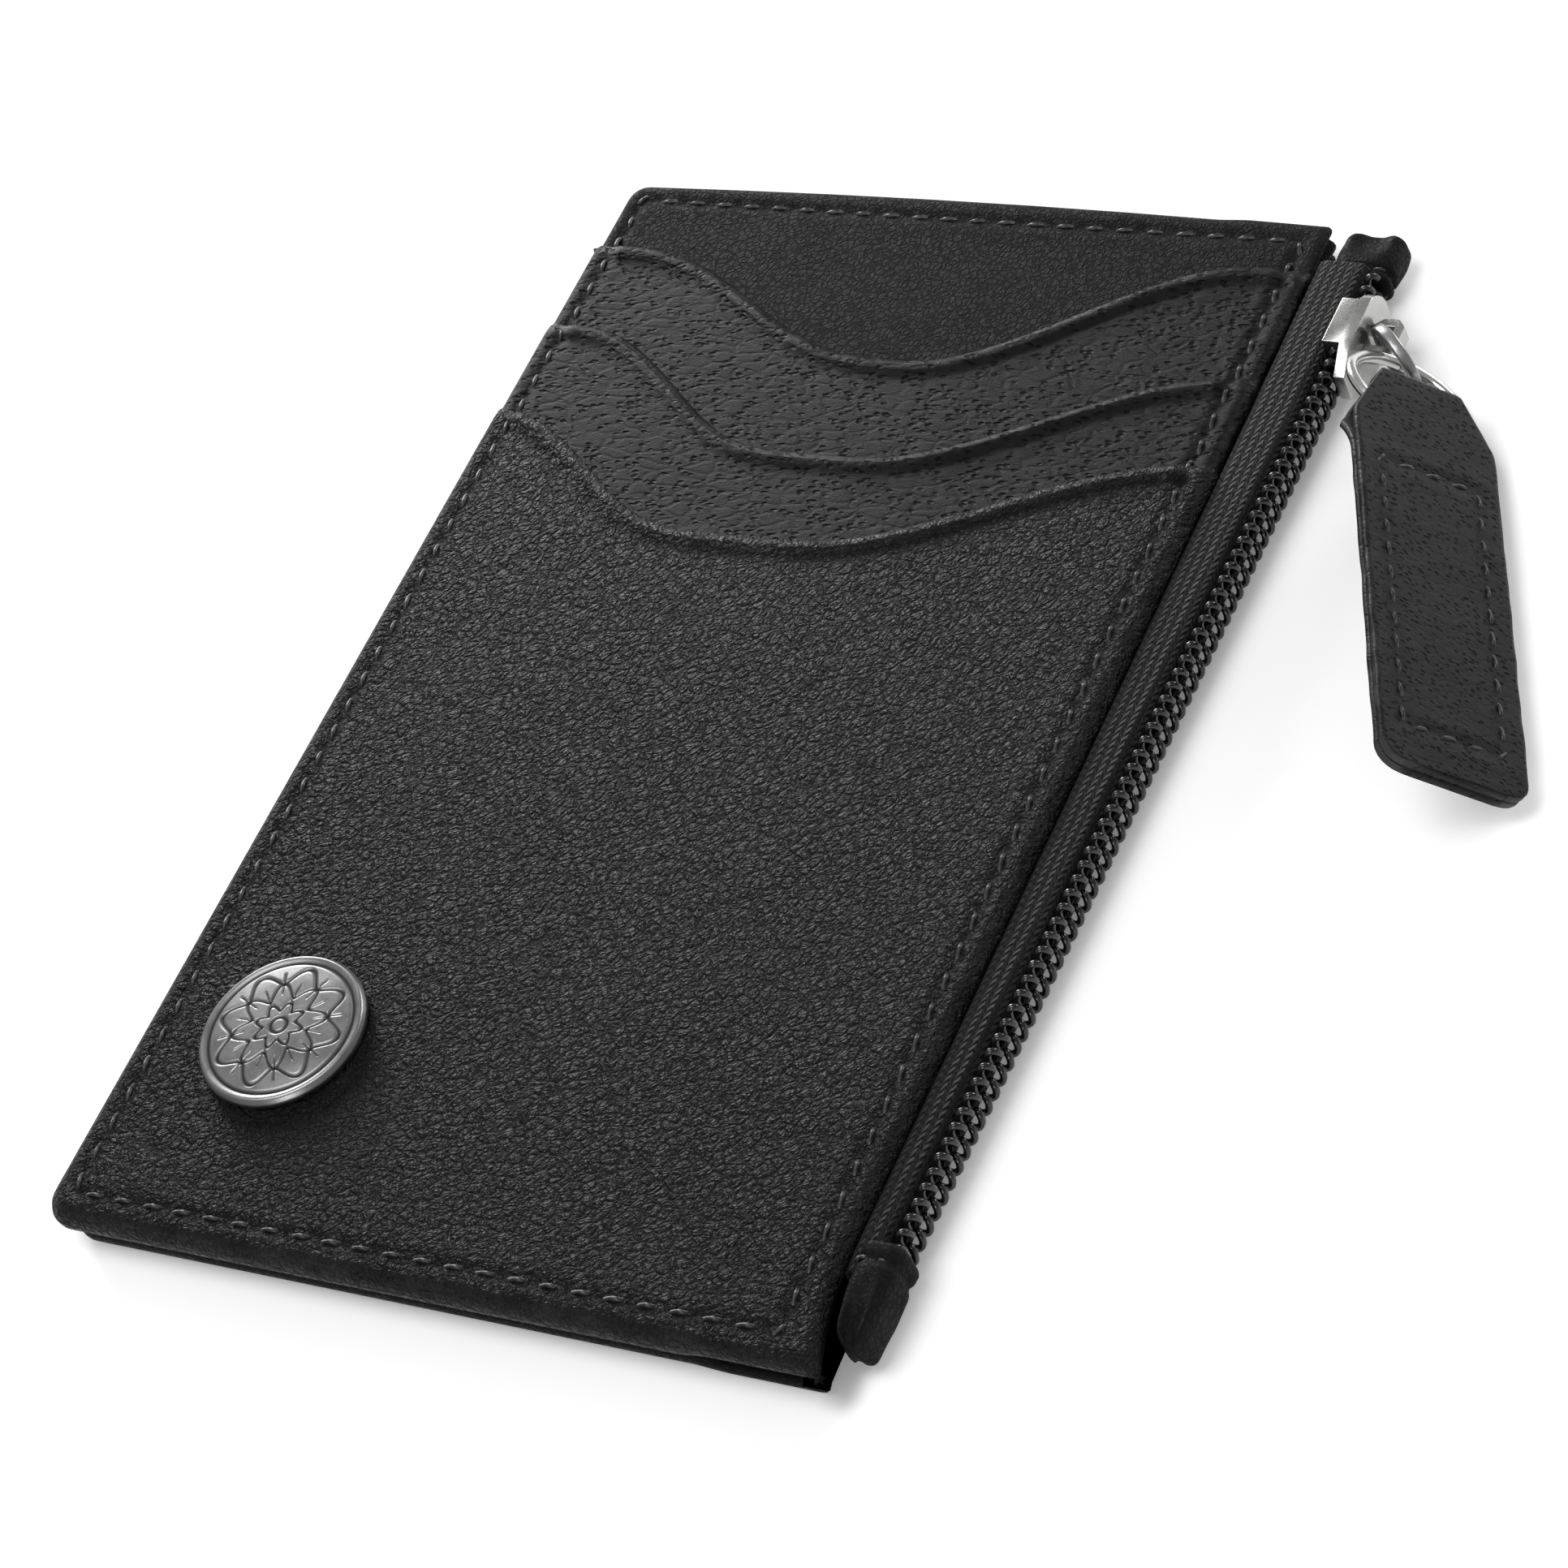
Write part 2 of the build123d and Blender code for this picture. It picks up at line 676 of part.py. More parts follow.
print("chain direction", along, "travel down", -along)
print("puller hinge", hinge)
print("ring hinge", hinge + pull * (puller_hole_end + puller_rim / 2))
print("ring centre", ring_centre, "ring axis", ring_normal)
print("tab origin", tab_origin, "across", tab_across, "down", tab_down, "normal", tab_normal)
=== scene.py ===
# %% [markdown]
# # A flat leather coin purse, built round its CAD frame
# The purse is a zipped coin pocket with three card pockets stacked on its front, a round
# stud, and a leather pull tab that hangs from the slider by a wire ring. The CAD model has
# the sizes, the separate pieces and the joints. This script gives every soft piece its
# sewn, rolled and rubbed shape, and every surface its finish. It lies on its back: +Z is
# the card side, +Y the pocket mouths, +X the zip. Lengths in the code are millimetres,
# and they become metres only where a mesh is placed.

# %% Load the frame
import json
import math

import bmesh
import bpy
import numpy as np
from mathutils import Matrix, Vector, geometry, noise


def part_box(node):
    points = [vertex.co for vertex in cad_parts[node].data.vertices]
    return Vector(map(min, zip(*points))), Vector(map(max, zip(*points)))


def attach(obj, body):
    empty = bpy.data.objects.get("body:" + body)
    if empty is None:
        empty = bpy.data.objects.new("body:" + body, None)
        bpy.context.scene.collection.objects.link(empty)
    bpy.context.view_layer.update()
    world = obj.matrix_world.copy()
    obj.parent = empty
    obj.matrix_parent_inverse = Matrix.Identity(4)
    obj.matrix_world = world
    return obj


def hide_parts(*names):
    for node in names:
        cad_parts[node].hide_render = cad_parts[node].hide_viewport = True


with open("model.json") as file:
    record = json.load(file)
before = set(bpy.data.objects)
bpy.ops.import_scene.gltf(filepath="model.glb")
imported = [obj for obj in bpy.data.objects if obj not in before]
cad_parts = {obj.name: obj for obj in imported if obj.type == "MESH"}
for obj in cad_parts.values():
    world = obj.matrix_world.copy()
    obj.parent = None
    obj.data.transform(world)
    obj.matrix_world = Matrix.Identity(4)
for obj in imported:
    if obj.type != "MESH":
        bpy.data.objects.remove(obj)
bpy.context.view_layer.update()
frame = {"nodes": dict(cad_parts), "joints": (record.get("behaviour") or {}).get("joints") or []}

cad = frame["nodes"]

# %% [markdown]
# ## Helpers for meshes
# Nearly every piece here is a list of points and faces worked out by a short function.
# Writing points straight into a mesh keeps the object at the origin, unturned and
# unscaled, so patterns that read Object coordinates stay in place when a body moves.

# %% Placing a piece
mm = 0.001


def place(name, points, faces, material):
    """A smooth mesh object from points in millimetres."""
    mesh = bpy.data.meshes.new(name)
    mesh.from_pydata([tuple(float(value) * mm for value in point) for point in points], [],
                     [tuple(int(index) for index in face) for face in faces])
    mesh.shade_smooth()
    mesh.materials.append(material)
    made = bpy.data.objects.new(name, mesh)
    bpy.context.scene.collection.objects.link(made)
    return made


def hand_over(made, body, slot_name, *nodes):
    """The finished piece joins its body and stands for its CAD nodes."""
    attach(made, body)
    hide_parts(*nodes)
    print(f"{made.name}: {len(made.data.vertices)} points, {len(made.data.polygons)} faces")
    return made


def outward(made):
    """Merges a mesh's doubled points and turns its faces to the outside."""
    shape = bmesh.new()
    shape.from_mesh(made.data)
    bmesh.ops.remove_doubles(shape, verts=shape.verts, dist=1e-7)
    bmesh.ops.recalc_face_normals(shape, faces=shape.faces)
    shape.to_mesh(made.data)
    shape.free()
    made.data.shade_smooth()


def box(node_name):
    """Lowest and highest corner of a CAD node, in millimetres."""
    low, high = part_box(node_name)
    return low / mm, high / mm


# %% Smooth steps, used for every soft change of shape
def smooth(value, start=0.0, end=1.0):
    """0 before start, 1 after end, and an even curve between."""
    share = np.clip((np.asarray(value, float) - start) / (end - start), 0, 1)
    return share * share * (3 - 2 * share)


def bump_at(distance, width):
    """A soft bump, 1 where distance is 0."""
    return np.exp(-(np.asarray(distance, float) / width) ** 2)


def waviness(points, size, seed):
    """Gentle random heights from -1 to 1, the same at every run."""
    return np.array([noise.noise(Vector((x / size, y / size, seed))) for x, y in points])


# %% [markdown]
# ## Node helpers
# A material tree is easier to read when a node and its links are one line. `maths` and
# `vector_maths` return the output socket, so that a formula reads from left to right.

# %% Small functions for node trees
def feed(tree, socket, value):
    """Links a socket to another, or sets its number."""
    if isinstance(value, bpy.types.NodeSocket):
        tree.links.new(value, socket)
    elif value is not None:
        socket.default_value = value


def maths(tree, operation, *values, clamp=False):
    made = tree.nodes.new("ShaderNodeMath")
    made.operation = operation
    made.use_clamp = clamp
    for socket, value in zip(made.inputs, values):
        feed(tree, socket, value)
    return made.outputs[0]


def vector_maths(tree, operation, *values):
    made = tree.nodes.new("ShaderNodeVectorMath")
    made.operation = operation
    sockets = [made.inputs[0], made.inputs["Scale"]] if operation == "SCALE" else made.inputs
    for socket, value in zip(sockets, values):
        feed(tree, socket, value)
    return made.outputs[0]


def soft_step(tree, value, start, end, low=0.0, high=1.0):
    """Maps start..end to low..high with a smooth curve."""
    made = tree.nodes.new("ShaderNodeMapRange")
    made.interpolation_type = "SMOOTHSTEP"
    feed(tree, made.inputs["Value"], value)
    for label, number in (("From Min", start), ("From Max", end), ("To Min", low), ("To Max", high)):
        feed(tree, made.inputs[label], number)
    return made.outputs["Result"]


def speckle(tree, vector, scale, detail=2.0, roughness=0.5):
    """Noise texture: its value and its colour."""
    made = tree.nodes.new("ShaderNodeTexNoise")
    feed(tree, made.inputs["Vector"], vector)
    feed(tree, made.inputs["Scale"], scale)
    made.inputs["Detail"].default_value = detail
    made.inputs["Roughness"].default_value = roughness
    return made.outputs[0], made.outputs["Color"]


def cells(tree, vector, scale, feature):
    """Voronoi texture: distance to the cell's middle or edge."""
    made = tree.nodes.new("ShaderNodeTexVoronoi")
    made.feature = feature
    feed(tree, made.inputs["Vector"], vector)
    feed(tree, made.inputs["Scale"], scale)
    return made.outputs["Distance"]


def two_colours(tree, mask, dark, light):
    """A colour between dark and light, by a mask."""
    made = tree.nodes.new("ShaderNodeMix")
    made.data_type = "RGBA"
    feed(tree, made.inputs[0], mask)
    feed(tree, made.inputs[6], dark if isinstance(dark, bpy.types.NodeSocket) else (*dark, 1))
    feed(tree, made.inputs[7], light if isinstance(light, bpy.types.NodeSocket) else (*light, 1))
    return made.outputs[2]


def attribute(tree, name):
    """A number stored on the mesh's points."""
    made = tree.nodes.new("ShaderNodeAttribute")
    made.attribute_name = name
    return made.outputs["Fac"]


def relief(tree, shader, height, depth, strength=1.0):
    """Bump node of a real depth in millimetres, feeding the shader's normal."""
    made = tree.nodes.new("ShaderNodeBump")
    made.inputs["Distance"].default_value = depth * mm
    made.inputs["Strength"].default_value = strength
    feed(tree, made.inputs["Height"], height)
    tree.links.new(made.outputs["Normal"], shader.inputs["Normal"])


def new_finish(name):
    """A material, its tree, its Principled shader and its Object coordinates."""
    finish = bpy.data.materials.new(name)
    finish.use_nodes = True
    tree = finish.node_tree
    tree.nodes.clear()
    shader = tree.nodes.new("ShaderNodeBsdfPrincipled")
    output = tree.nodes.new("ShaderNodeOutputMaterial")
    tree.links.new(shader.outputs[0], output.inputs["Surface"])
    coordinates = tree.nodes.new("ShaderNodeTexCoord")
    return finish, tree, shader, coordinates.outputs["Object"]


def new_group(name, inputs, outputs):
    """A shader node group with named sockets, and its input and output nodes."""
    group = bpy.data.node_groups.new(name, "ShaderNodeTree")
    for label, kind, value in inputs:
        socket = group.interface.new_socket(name=label, in_out="INPUT", socket_type=kind)
        if value is not None:
            socket.default_value = value
    for label in outputs:
        group.interface.new_socket(name=label, in_out="OUTPUT", socket_type="NodeSocketFloat")
    entry = group.nodes.new("NodeGroupInput").outputs
    result = group.nodes.new("NodeGroupOutput").inputs
    return group, entry, result


def use_group(tree, group, **values):
    """Places a shader group, sets its inputs by name and returns its outputs."""
    made = tree.nodes.new("ShaderNodeGroup")
    made.node_tree = group
    for label, value in values.items():
        feed(tree, made.inputs[label.replace("_", " ")], value)
    return made.outputs


# %% [markdown]
# ## Shared surface effects
# Four effects return on several finishes, so each is a node group made once. Pebbled
# grain is a mosaic of small cushions with creases between, which is what a Voronoi
# texture's distance to its cell edges gives. Hair pits are short slanted pricks in rows.
# The third, a patch mask, breaks up the amounts stored on a mesh's points, which mark edges and mouth beads
# paler: partly abrasion, partly painted highlight. The finishes also darken the grain's creases and the pits,
# which is painted shade. Satin is the very fine scatter of tumbled metal.

# %% Pebbled grain
pebble_grain, entry, result = new_group(
    "pebble_grain", [("Vector", "NodeSocketVector", None), ("Cell size", "NodeSocketFloat", 0.0009)],
    ["Height", "Crease", "Tone"])
per_cell = maths(pebble_grain, "DIVIDE", 1.0, entry["Cell size"])
spot = vector_maths(pebble_grain, "SCALE", entry["Vector"], per_cell)
drift = speckle(pebble_grain, spot, 0.55, 2.0)[1]
warped = vector_maths(pebble_grain, "ADD", spot, vector_maths(pebble_grain, "SCALE", drift, 1.1))
cushion = soft_step(pebble_grain, cells(pebble_grain, warped, 1.0, "DISTANCE_TO_EDGE"), 0.0, 0.24)
wrinkle = soft_step(pebble_grain, cells(pebble_grain, warped, 2.3, "DISTANCE_TO_EDGE"), 0.0, 0.2)
fuzz = speckle(pebble_grain, spot, 5.0, 3.0, 0.6)[0]
rise = maths(pebble_grain, "MULTIPLY_ADD", wrinkle, 0.34, maths(pebble_grain, "MULTIPLY", cushion, 0.5))
height = maths(pebble_grain, "MULTIPLY_ADD", fuzz, 0.3, rise)
feed(pebble_grain, result["Height"], height)
feed(pebble_grain, result["Crease"], maths(pebble_grain, "SUBTRACT", 1.0, cushion))
feed(pebble_grain, result["Tone"], speckle(pebble_grain, spot, 0.09, 4.0, 0.6)[0])
print("pebble_grain:", len(pebble_grain.nodes), "nodes")

# %% Hair pits
pit_slant = math.radians(-33)
hair_pits, entry, result = new_group(
    "hair_pits", [("Vector", "NodeSocketVector", None), ("Spacing", "NodeSocketFloat", 0.0008)],
    ["Height", "Pits", "Tone"])
turned = hair_pits.nodes.new("ShaderNodeMapping")
turned.inputs["Rotation"].default_value = (0, 0, pit_slant)
turned.inputs["Scale"].default_value = (0.62, 1.25, 1.0)
feed(hair_pits, turned.inputs["Vector"], entry["Vector"])
per_pit = maths(hair_pits, "DIVIDE", 1.0, entry["Spacing"])
spot = vector_maths(hair_pits, "SCALE", turned.outputs[0], per_pit)
drift = speckle(hair_pits, spot, 0.5, 2.0)[1]
warped = vector_maths(hair_pits, "ADD", spot, vector_maths(hair_pits, "SCALE", drift, 0.8))
prick = soft_step(hair_pits, cells(hair_pits, warped, 1.0, "F1"), 0.4, 0.12)
where = soft_step(hair_pits, speckle(hair_pits, spot, 0.22, 3.0)[0], 0.22, 0.5)
pits = maths(hair_pits, "MULTIPLY", prick, where)
fold = soft_step(hair_pits, cells(hair_pits, warped, 0.45, "DISTANCE_TO_EDGE"), 0.0, 0.2)
fuzz = speckle(hair_pits, spot, 4.0, 4.0, 0.65)[0]
ground = maths(hair_pits, "MULTIPLY_ADD", fold, 0.16, maths(hair_pits, "MULTIPLY", fuzz, 0.32))
height = maths(hair_pits, "SUBTRACT", maths(hair_pits, "ADD", ground, 0.5),
               maths(hair_pits, "MULTIPLY", pits, 0.6))
feed(hair_pits, result["Height"], height)
feed(hair_pits, result["Pits"], pits)
feed(hair_pits, result["Tone"], speckle(hair_pits, spot, 0.12, 4.0, 0.6)[0])
print("hair_pits:", len(hair_pits.nodes), "nodes")

# %% Paler edges: abrasion and painted highlight
wear_and_highlight_patches, entry, result = new_group(
    "wear_and_highlight_patches", [("Vector", "NodeSocketVector", None), ("Wear", "NodeSocketFloat", 0.0),
                ("Patch size", "NodeSocketFloat", 0.003)], ["Mask"])
spot = vector_maths(wear_and_highlight_patches, "SCALE", entry["Vector"],
                    maths(wear_and_highlight_patches, "DIVIDE", 1.0, entry["Patch size"]))
patches = soft_step(wear_and_highlight_patches, speckle(wear_and_highlight_patches, spot, 1.0, 4.0, 0.65)[0], 0.38, 0.62)
feed(wear_and_highlight_patches, result["Mask"], maths(wear_and_highlight_patches, "MULTIPLY", patches, entry["Wear"], clamp=True))
print("rubbing:", len(wear_and_highlight_patches.nodes), "nodes")

# %% Satin metal
satin, entry, result = new_group(
    "satin", [("Vector", "NodeSocketVector", None), ("Grit", "NodeSocketFloat", 0.00012)],
    ["Height", "Roughness"])
spot = vector_maths(satin, "SCALE", entry["Vector"], maths(satin, "DIVIDE", 1.0, entry["Grit"]))
grit = speckle(satin, spot, 1.0, 2.0, 0.7)[0]
cloud = speckle(satin, spot, 0.04, 3.0, 0.6)[0]
feed(satin, result["Height"], grit)
feed(satin, result["Roughness"], soft_step(satin, maths(satin, "ADD", cloud, grit), 0.6, 1.4))
print("satin:", len(satin.nodes), "nodes")

# %% [markdown]
# ## Finishes
# Black leather isn't black paint: its colour is a very dark grey, and what the eye reads
# as leather is the gloss breaking over the grain. So the colours stay within a narrow
# band and the work is in the bump depth, in tenths of a millimetre, and the roughness.
# The front pocket has pebbled grain, the two pockets behind it show slanted hair pits, and the leaf above
# them is shaved smooth. The colour also carries painted shade in creases and pits, and painted highlight,
# partly abrasion, on edges and mouth beads.

# %% The three panel leathers
def pebbled_leather(name, cell, depth, dark, light, gloss, shine):
    """Grained leather, glossier on its cushions, darker in its creases as painted shade, and painted paler
    along its edges and mouths: partly abrasion, partly painted highlight.
    """
    finish, tree, shader, place_on = new_finish(name)
    grain = use_group(tree, pebble_grain, Vector=place_on, Cell_size=cell)
    wear_and_highlight_mask = use_group(tree, wear_and_highlight_patches, Vector=place_on, Wear=attribute(tree, "wear_and_highlight"))["Mask"]
    # painted shade: the colour is darkened in the grain's creases
    tone_and_painted_shade = maths(tree, "SUBTRACT", grain["Tone"], maths(tree, "MULTIPLY", grain["Crease"], 0.12))
    colour = two_colours(tree, soft_step(tree, tone_and_painted_shade, 0.15, 0.75), dark, light)
    # painted highlight, partly abrasion: marked points are painted up to 3.5 times paler
    feed(tree, shader.inputs["Base Color"], two_colours(tree, wear_and_highlight_mask, colour, [3.5 * c for c in light]))
    dull = maths(tree, "MULTIPLY_ADD", grain["Crease"], 0.2, gloss)
    feed(tree, shader.inputs["Roughness"],
         maths(tree, "SUBTRACT", dull, maths(tree, "MULTIPLY", wear_and_highlight_mask, 0.16), clamp=True))
    shader.inputs["Specular IOR Level"].default_value = shine
    flatter = maths(tree, "MULTIPLY_ADD", attribute(tree, "wear_and_highlight"), -0.6, 1.0)
    relief(tree, shader, maths(tree, "MULTIPLY", grain["Height"], flatter), depth)
    return finish


def pitted_leather(name, spacing, depth, dark, light, gloss, shine):
    """Leather with slanted hair pits, darker in the pits as painted shade, and painted paler along its edges
    and mouths: partly abrasion, partly painted highlight.
    """
    finish, tree, shader, place_on = new_finish(name)
    grain = use_group(tree, hair_pits, Vector=place_on, Spacing=spacing)
    wear_and_highlight_mask = use_group(tree, wear_and_highlight_patches, Vector=place_on, Wear=attribute(tree, "wear_and_highlight"))["Mask"]
    # painted shade: the colour is darkened in the hair pits
    tone_and_painted_shade = maths(tree, "SUBTRACT", grain["Tone"], maths(tree, "MULTIPLY", grain["Pits"], 0.9))
    colour = two_colours(tree, soft_step(tree, tone_and_painted_shade, 0.1, 0.75), dark, light)
    # painted highlight, partly abrasion: marked points are painted up to 5 times paler
    feed(tree, shader.inputs["Base Color"], two_colours(tree, wear_and_highlight_mask, colour, [5.0 * c for c in light]))
    dull = maths(tree, "MULTIPLY_ADD", grain["Pits"], 0.2, gloss)
    feed(tree, shader.inputs["Roughness"],
         maths(tree, "SUBTRACT", dull, maths(tree, "MULTIPLY", wear_and_highlight_mask, 0.2), clamp=True))
    shader.inputs["Specular IOR Level"].default_value = shine
    flatter = maths(tree, "MULTIPLY_ADD", attribute(tree, "wear_and_highlight"), -0.6, 1.0)
    relief(tree, shader, maths(tree, "MULTIPLY", grain["Height"], flatter), depth)
    return finish


front_leather = pebbled_leather("front_pocket_leather", 0.00095, 0.3, (0.0025,) * 3, (0.006,) * 3,
                                0.34, 0.12)
shell_leather = pebbled_leather("shell_leather", 0.00065, 0.06, (0.003,) * 3, (0.006,) * 3, 0.46, 0.07)
card_leather = pitted_leather("card_pocket_leather", 0.0007, 0.28, (0.001,) * 3, (0.005,) * 3, 0.32, 0.07)
tab_finish = pitted_leather("tab_leather_finish", 0.00055, 0.13, (0.002,) * 3, (0.008,) * 3, 0.46, 0.12)
print("leathers:", front_leather.name, shell_leather.name, card_leather.name, tab_finish.name)

# %% [markdown]
# ## Thread, tape, coil and metal finishes
# Thread is two plies twisted together, so its bump is a stripe that runs round and along
# each stitch, from numbers that the stitch maker stores on the mesh. The zip tape is
# knitted: small V shapes in columns, drawn on the tape's own UV map, whose units are
# millimetres along and across. The coil is hard, glossy nylon.

# %% Thread
def thread_finish():
    finish, tree, shader, place_on = new_finish("sewing_thread")
    ply = maths(tree, "SINE", maths(tree, "MULTIPLY", attribute(tree, "ply"), 2 * math.pi))
    fibre = speckle(tree, place_on, 9000.0, 2.0)[0]
    height = maths(tree, "MULTIPLY_ADD", fibre, 0.3, ply)
    shade = soft_step(tree, height, -0.9, 1.1)
    feed(tree, shader.inputs["Base Color"], two_colours(tree, shade, (0.002,) * 3, (0.018,) * 3))
    shader.inputs["Roughness"].default_value = 0.42
    relief(tree, shader, height, 0.05)
    return finish


# %% Knitted zip tape
knit_size = 0.78


def tape_finish():
    finish, tree, shader, place_on = new_finish("knitted_tape")
    map_node = tree.nodes.new("ShaderNodeUVMap")
    map_node.uv_map = "weave"
    parts = tree.nodes.new("ShaderNodeSeparateXYZ")
    drift = speckle(tree, place_on, 1400.0, 2.0)[1]
    loose = vector_maths(tree, "ADD", map_node.outputs[0], vector_maths(tree, "SCALE", drift, 0.22))
    feed(tree, parts.inputs[0], loose)
    column = maths(tree, "FRACT", maths(tree, "DIVIDE", parts.outputs["Y"], knit_size))
    side = maths(tree, "ABSOLUTE", maths(tree, "SUBTRACT", column, 0.5))
    lean = maths(tree, "MULTIPLY_ADD", side, 1.6, maths(tree, "DIVIDE", parts.outputs["X"], knit_size))
    loop = maths(tree, "SINE", maths(tree, "MULTIPLY", lean, 2 * math.pi))
    wale = maths(tree, "SINE", maths(tree, "MULTIPLY", column, math.pi))
    knit = maths(tree, "MULTIPLY", maths(tree, "MULTIPLY_ADD", loop, 0.5, 0.5), wale)
    fibre = speckle(tree, place_on, 7000.0, 3.0, 0.7)[0]
    height = maths(tree, "MULTIPLY_ADD", fibre, 0.55, knit)
    shade = soft_step(tree, height, 0.15, 1.3)
    feed(tree, shader.inputs["Base Color"], two_colours(tree, shade, (0.0005,) * 3, (0.009,) * 3))
    shader.inputs["Roughness"].default_value = 0.5
    shader.inputs["Specular IOR Level"].default_value = 0.14
    shader.inputs["Sheen Weight"].default_value = 0.02
    shader.inputs["Sheen Roughness"].default_value = 0.4
    relief(tree, shader, height, 0.32)
    return finish


# %% Coil, lining and board
def coil_finish():
    finish, tree, shader, place_on = new_finish("coil_nylon")
    streak = speckle(tree, place_on, 2200.0, 3.0)[0]
    feed(tree, shader.inputs["Base Color"], two_colours(tree, streak, (0.004,) * 3, (0.012, 0.012, 0.015)))
    feed(tree, shader.inputs["Roughness"], soft_step(tree, streak, 0.3, 0.7, 0.12, 0.24))
    relief(tree, shader, streak, 0.012)
    return finish


def lining_finish():
    finish, tree, shader, place_on = new_finish("woven_lining")
    parts = tree.nodes.new("ShaderNodeSeparateXYZ")
    feed(tree, parts.inputs[0], place_on)
    threads = 2 * math.pi / (0.35 * mm)
    warp = maths(tree, "SINE", maths(tree, "MULTIPLY", parts.outputs["X"], threads))
    weft = maths(tree, "SINE", maths(tree, "MULTIPLY", parts.outputs["Y"], threads))
    weave = maths(tree, "MULTIPLY_ADD", maths(tree, "MULTIPLY", warp, weft), 0.5, 0.5)
    feed(tree, shader.inputs["Base Color"], two_colours(tree, weave, (0.006,) * 3, (0.022,) * 3))
    shader.inputs["Roughness"].default_value = 0.62
    relief(tree, shader, weave, 0.05)
    return finish


def board_finish():
    finish, tree, shader, place_on = new_finish("stiffening_board")
    pulp = speckle(tree, place_on, 1800.0, 4.0, 0.7)[0]
    feed(tree, shader.inputs["Base Color"], two_colours(tree, pulp, (0.09, 0.08, 0.07), (0.2, 0.18, 0.15)))
    shader.inputs["Roughness"].default_value = 0.9
    relief(tree, shader, pulp, 0.03)
    return finish


# %% Metals
def metal_finish(name, colour, smoothest, roughest, grit=0.00012):
    """Tumbled satin metal."""
    finish, tree, shader, place_on = new_finish(name)
    skin = use_group(tree, satin, Vector=place_on, Grit=grit)
    feed(tree, shader.inputs["Base Color"],
         two_colours(tree, skin["Roughness"], [0.86 * c for c in colour], colour))
    shader.inputs["Metallic"].default_value = 1.0
    feed(tree, shader.inputs["Roughness"],
         soft_step(tree, skin["Roughness"], 0.0, 1.0, smoothest, roughest))
    relief(tree, shader, skin["Height"], 0.006)
    return finish


def badge_finish():
    """Gunmetal whose engraved lines are filled dark, from a mask stored on the mesh."""
    finish, tree, shader, place_on = new_finish("gunmetal_badge")
    skin = use_group(tree, satin, Vector=place_on, Grit=0.0001)
    cut = attribute(tree, "engraved")
    plain = two_colours(tree, skin["Roughness"], (0.2, 0.2, 0.2), (0.27, 0.27, 0.27))
    feed(tree, shader.inputs["Base Color"], two_colours(tree, cut, plain, (0.02, 0.02, 0.02)))
    shader.inputs["Metallic"].default_value = 1.0
    even = soft_step(tree, skin["Roughness"], 0.0, 1.0, 0.3, 0.42)
    feed(tree, shader.inputs["Roughness"], maths(tree, "MULTIPLY_ADD", cut, 0.35, even, clamp=True))
    relief(tree, shader, skin["Height"], 0.006)
    return finish


thread = thread_finish()
knitted = tape_finish()
nylon = coil_finish()
lining = lining_finish()
board = board_finish()
slider_metal = metal_finish("slider_metal", (0.52, 0.52, 0.51), 0.2, 0.34)
puller_metal = metal_finish("puller_metal", (0.34, 0.34, 0.34), 0.28, 0.42)
ring_metal = metal_finish("ring_metal", (0.68, 0.68, 0.67), 0.14, 0.24)
stud_metal = badge_finish()
print("finishes:", len(bpy.data.materials))

# %% [markdown]
# ## Outlines read from the frame
# Leather here is cut to the CAD outlines, so the script reads them from the CAD meshes
# instead of repeating their sizes. The CAD mesh is loose triangles; a merged copy lets us
# walk round the rim of its flat face. Rolled edges and stitch grooves then depend on how
# far a point is from those lines.

# %% Reading and measuring outlines
def flat_outline(node_name, side):
    """The longest outline of a node's top (1) or bottom (-1) face, anticlockwise, in mm."""
    shape = bmesh.new()
    shape.from_mesh(cad[node_name].data)
    bmesh.ops.remove_doubles(shape, verts=shape.verts, dist=1e-6)
    level = side * max(side * point.co.z for point in shape.verts)
    flat = {face for face in shape.faces if all(abs(p.co.z - level) < 1e-6 for p in face.verts)}
    follow = {}
    for face in flat:
        for corner in face.loops:
            if not any(other in flat for other in corner.edge.link_faces if other is not face):
                follow[corner.vert] = corner.link_loop_next.vert
    found = []
    while follow:
        start, onward = follow.popitem()
        walk = [start]
        while onward is not start:
            walk.append(onward)
            onward = follow.pop(onward)
        found.append(np.array([point.co.to_tuple()[:2] for point in walk]) / mm)
    shape.free()
    longest = max(found, key=lambda line: np.ptp(line, axis=0).sum())
    return longest if side > 0 else longest[::-1]


def evenly(line, spacing, closed=True):
    """The same line with points at an even spacing."""
    path = np.vstack([line, line[:1]]) if closed else np.asarray(line, float)
    run = np.concatenate([[0], np.cumsum(np.linalg.norm(np.diff(path, axis=0), axis=1))])
    count = max(int(round(run[-1] / spacing)), 2)
    marks = np.arange(count) * run[-1] / count if closed else np.linspace(0, run[-1], count + 1)
    return np.column_stack([np.interp(marks, run, path[:, axis]) for axis in range(path.shape[1])])


def nearest(points, line, closed=True):
    """Each point's distance to a line, and how far along the line that is."""
    starts = line if closed else line[:-1]
    steps = (np.roll(line, -1, axis=0) - line) if closed else np.diff(line, axis=0)
    closest = np.full(len(points), np.inf)
    where = np.zeros(len(points))
    run = 0.0
    for start, step in zip(starts, steps):
        size = float(np.hypot(*step))
        share = np.clip(((points - start) @ step) / size ** 2, 0, 1)
        gap = points - start - share[:, None] * step
        far = np.hypot(gap[:, 0], gap[:, 1])
        nearer = far < closest
        closest[nearer] = far[nearer]
        where[nearer] = run + share[nearer] * size
        run += size
    return closest, where


